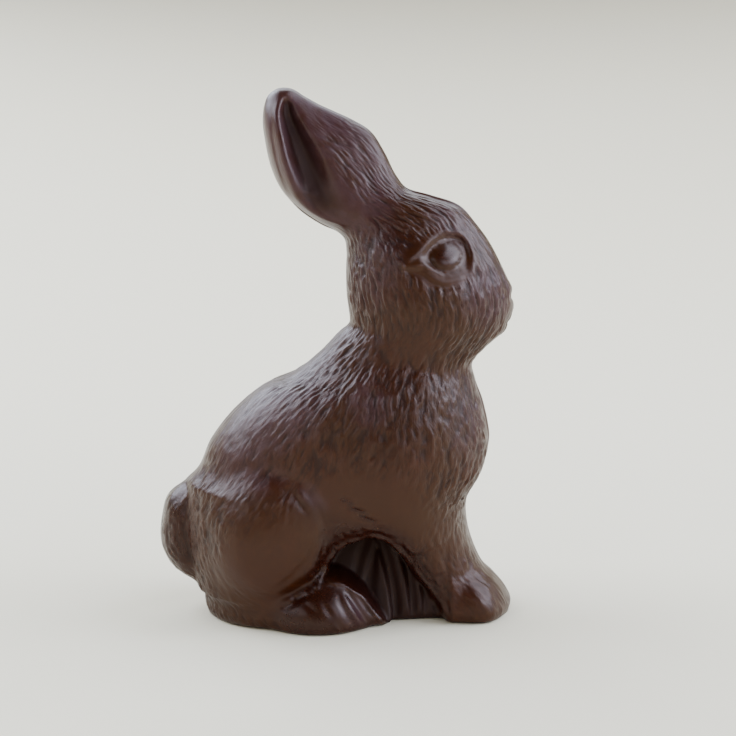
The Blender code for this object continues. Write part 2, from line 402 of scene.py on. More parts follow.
@dataclass(frozen=True)
class Trunk:
    """The rounded masses of the figure, without its carved details.

    Attributes:
        stations: chords from the back outline to the front outline, from the ear tip down: back x
            and z, front x and z, half width behind and in front, edge radius behind and in front.
        full_path: length given to the whole row of stations.
        rump_edge: height and x of the rump's edge, which the tail hides.
        haunch: thigh mass, with a steep front edge.
        rump: the same mass at the back, running smoothly into the trunk.
        shoulder: shoulder and chest mass.
        hind_foot: foot mass.
        front_paw: paw mass.
        cheek: head mass.
        haunch_into_rump: x between which haunch passes into rump.
        rump_round: distance over which the rump's edge rises.
        cheek_round: distance over which the cheek rises from the outline.
        face_low, face_high: heights between which the face starts and ends.
        muzzle_taper: how far the face narrows towards the nose.
        muzzle_length: distance over which it narrows.
        paw_edge: distance over which the paw rises from the outline.
        tail_middle: height of the tail's middle.
        tail_half_height, tail_half_width: half its size.
        tail_edge: distance over which it rises from the outline.
        over_tail: heights between which the back's edge takes over from the rump's.
        tail_front: x in front of which there is no tail.
        tail_clearance: how far above the tail the rump's edge is taken back.
        widening: chord shares between which the rear half width passes into the front one.
        crease: softness where masses meet.
        crease_edge: distance from the outline over which that softness rises.
        shoulder_crease, cheek_crease: how many times softer shoulder and cheek join the trunk.
        tail_crease: softness where the tail joins.
    """

    stations: tuple[tuple[float, ...], ...] = STATIONS
    full_path: float = 166.0
    rump_edge: Points = ((0.0, -36.4), (3.0, -37.6), (7.0, -39.0), (12.8, -40.6), (20.0, -42.0),
                         (28.0, -42.8), (33.0, -42.2), (38.0, -40.8), (60.0, -30.0))
    haunch: Mass = Mass(-19.5, 26.3, 18.8, 18.8, 17.0, 11.2)
    rump: Mass = Mass(-20.6, 25.4, 23.4, 22.6, 5.0, 23.2)
    shoulder: Mass = Mass(15.0, 45.0, 26.0, 26.0, 10.0, 13.6)
    hind_foot: Mass = Mass(-5.0, 2.0, 17.2, 14.0, 8.0, 18.8)
    front_paw: Mass = Mass(38.5, 3.0, 10.8, 10.5, 5.0, 11.6)
    cheek: Mass = Mass(24.0, 88.0, 21.0, 18.0, 7.0, 11.6)
    haunch_into_rump: tuple[float, float] = (-14.0, -27.0)
    rump_round: float = 20.0
    cheek_round: float = 18.0
    face_low: tuple[float, float] = (70.0, 82.0)
    face_high: tuple[float, float] = (118.0, 100.0)
    muzzle_taper: float = 0.42
    muzzle_length: float = 26.0
    paw_edge: float = 8.0
    tail_middle: float = 22.6
    tail_half_height: float = 18.2
    tail_half_width: float = 10.5
    tail_edge: float = 8.0
    over_tail: tuple[float, float] = (36.0, 41.0)
    tail_front: float = -30.0
    tail_clearance: float = 9.0
    widening: tuple[float, float] = (0.2, 0.9)
    crease: float = 2.4
    crease_edge: float = 4.0
    shoulder_crease: float = 3.0
    cheek_crease: float = 2.0
    tail_crease: float = 0.8

    def chords(self, path: Array) -> Array:
        """Station values at distances along the figure.

        Args:
            path: distances from the ear tip, from 0 to full_path.

        Returns:
            Array of shape (8, 1) + path's shape, ready to spread along a ring.
        """
        table = np.array(self.stations)
        middle = 0.5 * (table[:, 0:2] + table[:, 2:4])
        travel = np.hypot(*np.diff(middle, axis=0).T)
        side = 0.5 * (np.hypot(*np.diff(table[:, 0:2], axis=0).T)
                      + np.hypot(*np.diff(table[:, 2:4], axis=0).T))
        knots = np.concatenate(([0.0], np.cumsum(0.5 * (travel + side))))
        scaled = path * knots[-1] / self.full_path
        return np.stack([smooth_curve(knots, table[:, c], scaled) for c in range(8)])[..., None]

    def relief(self, share: Array, chords: Array) -> tuple[Array, ...]:
        """Half width of the masses at shares of the chords.

        The trunk is its half width times a quarter-circle rise from each outline. Haunch,
        shoulder, foot, paw and cheek are laid over it as ellipsoids, and the tail behind it.

        Args:
            share: shares of the chord, 0 at the back and 1 at the front, shape (rings, points).
            chords: station values from chords().

        Returns:
            x, z, relief and distance from the outline, each of share's shape.
        """
        back_x, back_z, front_x, front_z, wide_back, wide_front, round_back, round_front = chords
        x = back_x + (front_x - back_x) * share
        z = back_z + (front_z - back_z) * share
        length = np.hypot(front_x - back_x, front_z - back_z)
        from_back = share * length
        from_front = (1.0 - share) * length
        from_outline = np.minimum(from_back, from_front)

        rump = curve_through(self.rump_edge, z)
        clear_of_tail = self.tail_clearance * smooth_step(*self.over_tail, z)
        inside_rump = np.minimum(from_back, np.maximum(x - rump, 0.0) + clear_of_tail)
        wide = wide_back + (wide_front - wide_back) * smooth_step(*self.widening, share)
        face = smooth_step(*self.face_low, z) * smooth_step(*self.face_high, z)
        nose = 1.0 - smooth_step(0.0, 1.0, from_front / self.muzzle_length)
        front_edge = round_edge(from_front, round_front) * (1.0 - self.muzzle_taper * face * nose)
        trunk_edge = round_edge(inside_rump, round_back) * front_edge
        relief = wide * trunk_edge

        crease = self.crease * round_edge(from_outline, self.crease_edge)
        rump_edge = round_edge(inside_rump, self.rump_round)
        behind = smooth_step(*self.haunch_into_rump, x)
        thigh = self.haunch.relief(x, z) * (1.0 - behind) + self.rump.relief(x, z) * behind
        relief = smooth_max(relief, thigh * rump_edge, crease * (0.6 + 0.8 * behind))
        shoulder = self.shoulder.relief(x, z) * trunk_edge
        relief = smooth_max(relief, shoulder, self.shoulder_crease * crease)
        relief = smooth_max(relief, self.hind_foot.relief(x, z) * rump_edge, crease)
        paw = self.front_paw.relief(x, z) * round_edge(from_front, self.paw_edge)
        relief = smooth_max(relief, paw, crease)
        cheek = self.cheek.relief(x, z) * round_edge(from_outline, self.cheek_round)
        relief = smooth_max(relief, cheek, self.cheek_crease * crease)

        rise = 1.0 - ((z - self.tail_middle) / self.tail_half_height) ** 2
        tail = self.tail_half_width * np.sqrt(np.maximum(rise, 0.0))
        tail = np.where(x < self.tail_front, tail * round_edge(from_back, self.tail_edge), ABSENT)
        tail_crease = self.tail_crease * round_edge(from_back, 2.0) * (rise > 0.0)
        relief = smooth_max(relief, tail, tail_crease)
        return x, z, relief, from_outline


@dataclass(frozen=True)
class BellyHollow:
    """The hollow between belly, hind foot and front leg, filled with a tuft of grass blades.

    Attributes:
        arch: x and height of its upper edge.
        crest: x and height of the foot's crest in front of it.
        rear_end, front_end: x over which the rolled edge starts and ends.
        roll_width: width of the belly's rolled edge above the arch.
        roll_depth: how far that edge turns inwards.
        band_width: width of the wrinkled band over the arch, which is given painted shade.
        band_spread: how much wider it is at its rear.
        wall: width over which the wall drops.
        mouth_rear: x between which the recess starts.
        mouth_front: x where it ends.
        lip: height of the fine bead along the arch.
        lip_place, lip_width: how far over the arch the bead is, and its half width.
        lip_rear: x between which it starts.
        tuft_top: half width of the tuft at the top of the hollow.
        tuft_base: half width where it meets the base.
        tuft_height: height at which it reaches tuft_top.
        blades: right edge of each blade at the ground and at blade_top, and its height. The first
            row gives only where the first blade starts.
        blade_top: height of the second edge position.
        blade_inset: how far the blades' grooves are set into the tuft.
    """

    arch: Points = ((-11.0, 9.2), (-4.7, 12.4), (-1.8, 17.2), (2.0, 22.0), (5.4, 23.7), (9.2, 25.0),
                    (12.6, 24.2), (15.8, 21.4), (21.8, 13.0), (26.0, 7.4), (29.6, 0.0), (31.0, -6.0))
    crest: Points = ((-11.0, 8.0), (-7.0, 10.6), (-3.0, 13.2), (0.2, 13.3), (3.8, 11.4), (6.8, 8.8),
                     (9.4, 5.4), (12.9, 0.0), (15.0, -6.0))
    rear_end: tuple[float, float] = (-16.0, -7.0)
    front_end: tuple[float, float] = (33.0, 28.0)
    roll_width: float = 7.0
    roll_depth: float = 4.2
    band_width: float = 6.5
    band_spread: float = 4.0
    wall: float = 1.3
    mouth_rear: tuple[float, float] = (-11.0, -6.5)
    mouth_front: float = 31.0
    lip: float = 0.95
    lip_place: float = 0.7
    lip_width: float = 0.62
    lip_rear: tuple[float, float] = (-11.0, -7.0)
    tuft_top: float = 4.6
    tuft_base: float = 14.2
    tuft_height: float = 25.0
    blades: tuple[tuple[float, float, float], ...] = (
        (-8.0, -6.0, 0.0),
        (3.4, 5.6, 0.7),
        (6.6, 9.6, 0.8),
        (15.6, 12.8, 2.3),
        (20.5, 18.4, 2.1),
        (24.1, 22.6, 1.6),
        (27.0, 25.2, 0.9),
        (34.0, 32.0, 0.6),
    )
    blade_top: float = 16.0
    blade_inset: float = 0.8

    def leaves(self, x: Array, z: Array) -> Array:
        """Overlapping blades: each rises smoothly from left to right and drops at its own edge.

        Every blade is given by its right edge at the ground, the same edge at blade_top, and the
        height of its edge over the groove behind it.

        Args:
            x: side-view x.
            z: side-view height.

        Returns:
            Height of the blades over the tuft.
        """
        rise = np.zeros(x.shape)
        share = (z / self.blade_top) ** 2
        for (base_a, top_a, _), (base_b, top_b, height) in zip(self.blades[:-1], self.blades[1:]):
            left = base_a + (top_a - base_a) * share
            right = base_b + (top_b - base_b) * share
            across = np.clip((x - left) / np.maximum(right - left, 0.4), 0.0, 1.0)
            rib = 0.05 * np.cos(math.pi * 4.0 * across) * (1.0 - across)
            drop = 1.1 / np.maximum(right - left, 1.6)
            hump = smooth_step(0.0, 0.80, across) * smooth_step(1.0, 1.0 - drop, across)
            rise = np.where((x >= left) & (x < right), height * (hump + rib), rise)
        return rise

    def band(self, x: Array, z: Array) -> Array:
        """1 along the belly's rolled edge, fading upwards.

        Args:
            x: side-view x.
            z: side-view height.

        Returns:
            Mask from 0 to 1.
        """
        over = height_over(self.arch, x, z)
        span = smooth_step(-13.0, -6.0, x) * smooth_step(32.0, 27.0, x)
        reach = self.band_width + self.band_spread * smooth_step(12.0, 0.0, x)
        return smooth_step(1.0, 0.4, over / reach) * smooth_step(-1.5, 0.0, over) * span

    def carve(self, x: Array, z: Array, relief: Array) -> tuple[Array, Array]:
        """Roll the belly's edge inwards, drop the wall and set the tuft inside.

        Args:
            x: side-view x.
            z: side-view height.
            relief: half width of the masses.

        Returns:
            The carved relief and a mask that is 1 inside the hollow.
        """
        over_arch = height_over(self.arch, x, z)
        over_crest = height_over(self.crest, x, z)
        span = smooth_step(*self.rear_end, x) * smooth_step(*self.front_end, x)
        roll = np.clip(1.0 - np.maximum(over_arch, 0.0) / self.roll_width, 0.0, 1.0) ** 2
        relief = relief - self.roll_depth * roll * span * smooth_step(0.0, 3.5, over_crest)
        inside = (smooth_step(0.1, -self.wall, over_arch) * smooth_step(0.0, self.wall, over_crest)
                  * smooth_step(*self.mouth_rear, x) * (x < self.mouth_front))
        tuft = self.tuft_base + (self.tuft_top - self.tuft_base) * z / self.tuft_height
        tuft = tuft + self.leaves(x, z) - self.blade_inset
        bead = np.exp(-((over_arch - self.lip_place) / self.lip_width) ** 2)
        bead = bead * smooth_step(*self.lip_rear, x) * (x < self.mouth_front)
        relief = relief + (np.minimum(tuft, relief) - relief) * inside
        return relief + self.lip * bead * smooth_step(-1.0, 2.0, over_crest), inside


@dataclass(frozen=True)
class EarGroove:
    """The open side of the ear: a deep groove behind a thick rim, given by height.

    Attributes:
        rim_edge: height and x of the edge where the rim drops into the groove.
        back_edge: height and x where the groove has run out towards the ear's back.
        deep: height and depth of the groove.
        lowest: height where the groove ends.
        bead: height of the fine bead along the rim's edge.
        bead_width: its half width, and how far behind the edge it runs.
        bead_low, bead_high: heights between which it starts at each end.
    """

    rim_edge: Points = ((106.0, 8.0), (108.2, 2.4), (109.1, -0.6), (111.2, -5.4), (115.5, -9.9),
                        (118.3, -10.8), (122.3, -12.1), (126.3, -13.3), (130.5, -14.1), (134.4, -14.9),
                        (137.8, -15.2), (140.2, -14.7), (142.0, -14.0), (144.5, -12.0))
    back_edge: Points = ((106.0, 10.0), (109.0, 6.4), (111.0, 5.4), (113.7, 4.2), (116.2, 3.2),
                         (120.2, 1.6), (124.1, -0.4), (127.6, -2.5), (132.0, -5.6), (137.3, -9.2),
                         (140.7, -11.2), (141.4, -11.8), (144.5, -9.0))
    deep: Points = ((106.0, 0.0), (109.0, 0.3), (111.5, 1.4), (114.5, 2.6), (118.0, 3.9), (121.5, 5.0),
                    (126.0, 5.6), (131.0, 5.2), (135.5, 4.2), (139.0, 2.8), (140.3, 1.9), (141.2, 0.5),
                    (141.8, 0.0), (144.5, 0.0))
    lowest: float = 106.0
    bead: float = 0.42
    bead_width: float = 0.75
    bead_low: tuple[float, float] = (107.0, 112.0)
    bead_high: tuple[float, float] = (143.0, 139.0)

    def relief(self, x: Array, z: Array) -> tuple[Array, Array]:
        """Steep wall behind the rim, a broad floor, a slope out of it and a long shallow end.

        Args:
            x: side-view x.
            z: side-view height.

        Returns:
            What the groove and its bead add to the relief, and a mask of the groove.
        """
        rim = curve_through(self.rim_edge, z)
        back = curve_through(self.back_edge, z)
        deep = np.maximum(curve_through(self.deep, z), 0.0)
        across = (x - rim) / np.maximum(back - rim, 0.6)
        wall = 0.75 * smooth_step(0.0, 0.26, across) + 0.25 * smooth_step(0.06, 0.55, across)
        slope = 1.0 - 0.80 * smooth_step(0.42, 0.92, across) - 0.20 * smooth_step(0.66, 1.20, across)
        inside = wall * slope * (z > self.lowest)
        lean = 1.0 + 0.4 * smooth_step(122.0, 112.0, z)
        bead = self.bead * np.exp(-((x - rim + self.bead_width) / (self.bead_width * lean)) ** 2)
        bead = bead * smooth_step(*self.bead_low, z) * smooth_step(*self.bead_high, z)
        return bead - deep * inside, inside * smooth_step(0.0, 3.0, deep)


@dataclass(frozen=True)
class Eye:
    """The eye: smooth skin with lids round a domed eyeball, drawn out to a rear corner.

    The points of the lids are measured from the middle of the eyeball.

    Attributes:
        x: middle of the eyeball.
        z: middle height of the eyeball.
        half_x: half width of the eyeball.
        half_z: half height of the eyeball.
        rise: height of the dome.
        rear_power, front_power: how round the eyeball's outline is; nearer 1 is more pointed.
        socket: how deep the skin is sunk round the eyeball.
        socket_edge: lens distances between which the skin sinks.
        skin_front: how far the bare skin reaches in front of the eyeball.
        skin_height: half height of the bare skin over the eyeball.
        upper_lid: ridge from the rear corner over the eyeball and down in front.
        groove: groove between that ridge and the eyeball.
        lower_lid: ridge under the eyeball.
        fold: fold under the eye, where the fur starts.
    """

    x: float = 29.2
    z: float = 100.5
    half_x: float = 4.3
    half_z: float = 3.5
    rise: float = 1.7
    rear_power: float = 1.6
    front_power: float = 2.1
    socket: float = 1.5
    socket_edge: tuple[float, float] = (1.75, 1.05)
    skin_front: float = 8.0
    skin_height: float = 7.0
    upper_lid: Line = Line(((-12.6, -1.6), (-10.4, -0.2), (-8.2, 1.4), (-6.4, 3.0), (-4.4, 4.6),
                            (-2.0, 5.7), (0.6, 6.2), (3.2, 5.9), (5.4, 4.6), (6.8, 2.4), (7.4, -0.2),
                            (7.2, -2.8), (6.2, -4.8)), 0.95, 0.85, 0.35)
    groove: Line = Line(((-4.6, 2.2), (-2.8, 4.0), (-0.6, 4.9), (1.6, 4.9), (3.8, 4.0), (5.1, 2.4),
                         (5.6, 0.3), (5.6, -1.8), (5.0, -3.6)), 0.70, -0.55, 0.3)
    lower_lid: Line = Line(((-12.2, -2.2), (-9.0, -1.8), (-6.2, -1.2), (-4.6, -2.4), (-3.0, -3.5),
                            (-1.2, -4.3), (0.8, -4.5), (2.9, -4.1), (4.6, -3.0)), 0.6, 1.05, 0.35)
    fold: Line = Line(((-11.6, -3.2), (-8.6, -3.6), (-6.0, -4.8), (-4.3, -6.2), (-1.7, -7.4),
                       (1.6, -7.7), (4.6, -6.8), (6.6, -4.8)), 0.8, -0.60, 0.4)

    def relief(self, x: Array, z: Array) -> Array:
        """Dome inside a sunk socket, with the lids' ridges and grooves added.

        The dome is rise times (1 - r^2.6)^0.8, r being a rounded-lens distance that comes to a
        soft point at the rear.

        Args:
            x: side-view x.
            z: side-view height.

        Returns:
            What the eye adds to the relief.
        """
        across, up = x - self.x, z - self.z
        power = np.where(across < 0.0, self.rear_power, self.front_power)
        ball = (np.abs(across / self.half_x) ** power + np.abs(up / self.half_z) ** power) ** (1.0 / power)
        dome = self.rise * np.maximum(1.0 - ball ** 2.6, 0.0) ** 0.8
        sunk = self.socket * smooth_step(*self.socket_edge, ball)
        relief = dome - sunk
        for line in (self.upper_lid, self.groove, self.lower_lid, self.fold):
            relief = relief + line.relief(across, up)
        return relief

    def smooth(self, x: Array, z: Array) -> Array:
        """1 on the bare skin round the eye, 0 where the fur is whole.

        Args:
            x: side-view x.
            z: side-view height.

        Returns:
            Mask from 0 to 1.
        """
        across, up = x - self.x, z - self.z
        left = np.maximum(-across - 4.0, 0.0)
        height = self.skin_height - 0.62 * left
        ahead = np.maximum(across, 0.0) / self.skin_front
        round_eye = np.hypot(ahead, (up + 0.6) / np.maximum(height, 1.2))
        return smooth_step(1.12, 0.92, round_eye) * smooth_step(-12.0, -10.4, across)


LAYS = (
    (3.7, 128.0, -50.0), (10.4, 120.1, -38.0), (-1.6, 135.9, -52.0), (2.4, 117.6, -35.0),
    (-16.0, 135.0, -4.0), (-13.0, 118.0, -30.0), (14.3, 111.4, -38.0), (24.8, 111.4, -48.0),
    (31.7, 110.9, -55.0), (41.0, 97.8, -32.0), (7.7, 99.6, -6.0), (6.4, 89.1, 0.0),
    (16.9, 92.0, -8.0), (24.8, 86.9, -3.0), (32.8, 89.4, 0.0), (38.3, 91.3, -5.0),
    (42.7, 81.3, 32.0), (35.7, 79.4, 18.0), (25.0, 77.2, 8.0), (17.0, 73.1, 0.0),
    (-1.6, 73.0, 40.0), (-9.7, 66.2, 44.0), (-20.3, 59.8, 44.0), (-25.5, 52.3, 38.0),
    (-32.3, 41.3, 25.0), (9.0, 63.1, 8.0), (16.9, 58.1, 0.0), (24.9, 57.7, -5.0),
    (33.1, 61.9, -6.0), (37.6, 55.1, -8.0), (36.2, 41.7, 8.0), (32.0, 34.3, 12.0),
    (-9.5, 52.7, 24.0), (1.1, 52.7, 12.0), (-9.5, 44.8, 25.0), (-22.7, 31.9, 18.0),
    (-31.1, 19.8, 0.0), (-14.8, 36.9, 30.0), (-6.4, 34.1, -30.0), (27.9, 29.8, -10.0),
    (32.0, 18.4, -18.0), (39.1, 6.1, -38.0), (-43.1, 27.1, 0.0), (-46.1, 32.0, 15.0),
    (-41.9, 15.7, -15.0), (5.0, 7.6, -36.0), (-4.3, 7.2, -34.0), (-23.1, 9.3, -50.0),
)


@dataclass(frozen=True)
class Coat:
    """The moulded fur: noise drawn out into strands along the way that the fur lies.

    Attributes:
        height: rise of the main strands over their mean, in mm.
        strand_cell: lattice spacing of the main strands.
        hair_cell: lattice spacing of the finer hairs.
        broad_cell: lattice spacing and reach of the broad swells under them.
        strand_share, crease_share, hair_share, broad_share: what each adds to the pattern.
        strand_reach: Gaussian reach of the averaging along main strands.
        hair_reach: the same along finer hairs.
        wander: how far the lay wanders, in degrees.
        lay_reach: distance over which one lay passes into the next.
        thin: patches that lower the fur, with the share that is left.
        lays: how the fur lies at places of the side view, each as x, z and degrees from upright,
            positive when the strands lean forward at the top.
    """

    height: float = 0.20
    strand_cell: float = 0.92
    hair_cell: float = 0.70
    broad_cell: float = 2.4
    strand_share: float = 0.45
    crease_share: float = 0.42
    hair_share: float = 0.42
    broad_share: float = 0.30
    strand_reach: float = 1.15
    hair_reach: float = 0.75
    wander: float = 34.0
    lay_reach: float = 6.5
    thin: tuple[Patch, ...] = (
        Patch(8.0, 33.0, 24.0, 15.0, 0.05, -8.0, 0.45),
        Patch(-17.0, 22.0, 19.0, 17.0, 0.20, 20.0, 0.55),
        Patch(-24.0, 40.0, 14.0, 9.0, 0.55, 30.0, 0.6),
        Patch(-22.0, 56.0, 24.0, 12.0, 0.50, 45.0, 0.7),
        Patch(-22.0, 14.0, 20.0, 14.0, 0.25, 0.0, 0.55),
        Patch(-44.0, 24.0, 9.0, 17.0, 0.85, 0.0, 0.5),
        Patch(38.0, 5.0, 16.0, 12.0, 0.45, 0.0, 0.6),
        Patch(30.0, 22.0, 9.0, 12.0, 0.5, 0.0, 0.7),
        Patch(-2.0, 5.0, 16.0, 10.0, 0.10, 0.0, 0.4),
        Patch(24.0, 78.0, 8.0, 5.0, 0.45, 0.0, 0.8),
    )
    lays: tuple[tuple[float, float, float], ...] = LAYS

    def amount(self, x: Array, z: Array) -> Array:
        """Share of the full fur height, lowered inside each thin patch.

        Args:
            x: side-view x.
            z: side-view height.

        Returns:
            Array of shares.
        """
        left = np.ones(x.shape)
        for patch in self.thin:
            left = left * (1.0 - (1.0 - patch.value) * patch.weight(x, z))
        return left

    def lean(self, points: Array, x: Array, z: Array) -> Array:
        """Angle of the strands from upright, in radians: Gaussian mean of the lays plus a wander.

        Args:
            points: places in space, for the wander.
            x: side-view x.
            z: side-view height.

        Returns:
            Array of angles.
        """
        total = np.zeros(x.shape)
        weights = np.full(x.shape, 1e-9)
        for middle_x, middle_z, angle in self.lays:
            away = ((x - middle_x) ** 2 + (z - middle_z) ** 2) / self.lay_reach ** 2
            weight = np.exp(-away) + 0.002 / (1.0 + away)
            total += weight * angle
            weights += weight
        wander = self.wander * LatticeNoise(31, 3.6).at(points)
        return np.radians(total / weights + wander)

    def moves(self, grid: Array, normal: Array, lean: Array) -> tuple[Array, ...]:
        """Steps in rings and columns that follow the strands for 1 mm.

        The wanted direction (sin lean, 0, cos lean) is laid flat on the surface, and the two
        grid directions that make it up are solved from their products.

        Args:
            grid: smooth surface, shape (rings, columns, 3).
            normal: its unit normals.
            lean: angle of the strands.

        Returns:
            Ring steps and column steps per mm.
        """
        wanted = np.stack((np.sin(lean), np.zeros(lean.shape), np.cos(lean)), axis=-1)
        flat = wanted - normal * np.sum(wanted * normal, axis=-1, keepdims=True)
        flat /= np.maximum(np.linalg.norm(flat, axis=-1, keepdims=True), 0.05)
        down, across = np.gradient(grid, axis=0), np.gradient(grid, axis=1)
        dd, aa = np.sum(down * down, axis=-1), np.sum(across * across, axis=-1)
        da = np.sum(down * across, axis=-1)
        fd, fa = np.sum(flat * down, axis=-1), np.sum(flat * across, axis=-1)
        spread = np.maximum(dd * aa - da * da, 1e-5)
        ring_step = np.clip((fd * aa - fa * da) / spread, -4.0, 4.0)
        column_step = np.clip((fa * dd - fd * da) / spread, -12.0, 12.0)
        return ring_step, column_step

    def drawn(self, noise: Array, moves: tuple[Array, ...], reach: float) -> Array:
        """Average noise along the strands with Gaussian weights.

        Args:
            noise: values on the grid.
            moves: ring and column steps per mm.
            reach: Gaussian reach in mm.

        Returns:
            The drawn-out noise, scaled to a standard deviation of 1.
        """
        rings, columns = noise.shape
        total = noise.copy()
        weights = 1.0
        step = 0.4

        def sample(values: Array, row: Array, column: Array) -> Array:
            """Read values between grid points by their four neighbours.

            Args:
                values: what to read, one on each grid point.
                row: ring numbers, with fractions.
                column: column numbers, with fractions.

            Returns:
                Values at those places.
            """
            r, c = np.minimum(row.astype(int), rings - 2), np.minimum(column.astype(int), columns - 2)
            u, v = row - r, column - c
            top = values[r, c] * (1.0 - v) + values[r, c + 1] * v
            low = values[r + 1, c] * (1.0 - v) + values[r + 1, c + 1] * v
            return top * (1.0 - u) + low * u

        for direction in (-1.0, 1.0):
            row, column = np.meshgrid(np.arange(rings, dtype=float), np.arange(columns, dtype=float),
                                      indexing="ij")
            for k in range(1, int(2.2 * reach / step) + 1):
                ring_step = sample(moves[0], row, column) * step * direction
                column_step = sample(moves[1], row, column) * step * direction
                row = np.clip(row + ring_step, 0.0, rings - 1.0)
                column = np.clip(column + column_step, 0.0, columns - 1.0)
                weight = math.exp(-(k * step / reach) ** 2)
                total += weight * sample(noise, row, column)
                weights += weight
        drawn = total / weights
        return drawn / np.std(drawn)

    def relief(self, points: Array, grid: Array, normal: Array, lean: Array) -> Array:
        """Fur pattern of about -2 to 2: strands with fine hairs, creased at their valleys.

        Args:
            points: places in space, for the noise.
            grid: smooth surface, shape (rings, columns, 3).
            normal: its unit normals.
            lean: angle of the strands.

        Returns:
            The pattern, in the shape of the grid.
        """
        moves = self.moves(grid, normal, lean)
        strand = self.drawn(LatticeNoise(11, self.strand_cell).at(points), moves, self.strand_reach)
        hair = self.drawn(LatticeNoise(12, self.hair_cell).at(points), moves, self.hair_reach)
        broad = self.drawn(LatticeNoise(13, self.broad_cell).at(points), moves, self.broad_cell)
        creased = 0.6 - 1.6 * np.exp(-((strand + 0.2) / 0.45) ** 2)
        return (self.strand_share * strand + self.crease_share * creased + self.hair_share * hair
                + self.broad_share * broad)


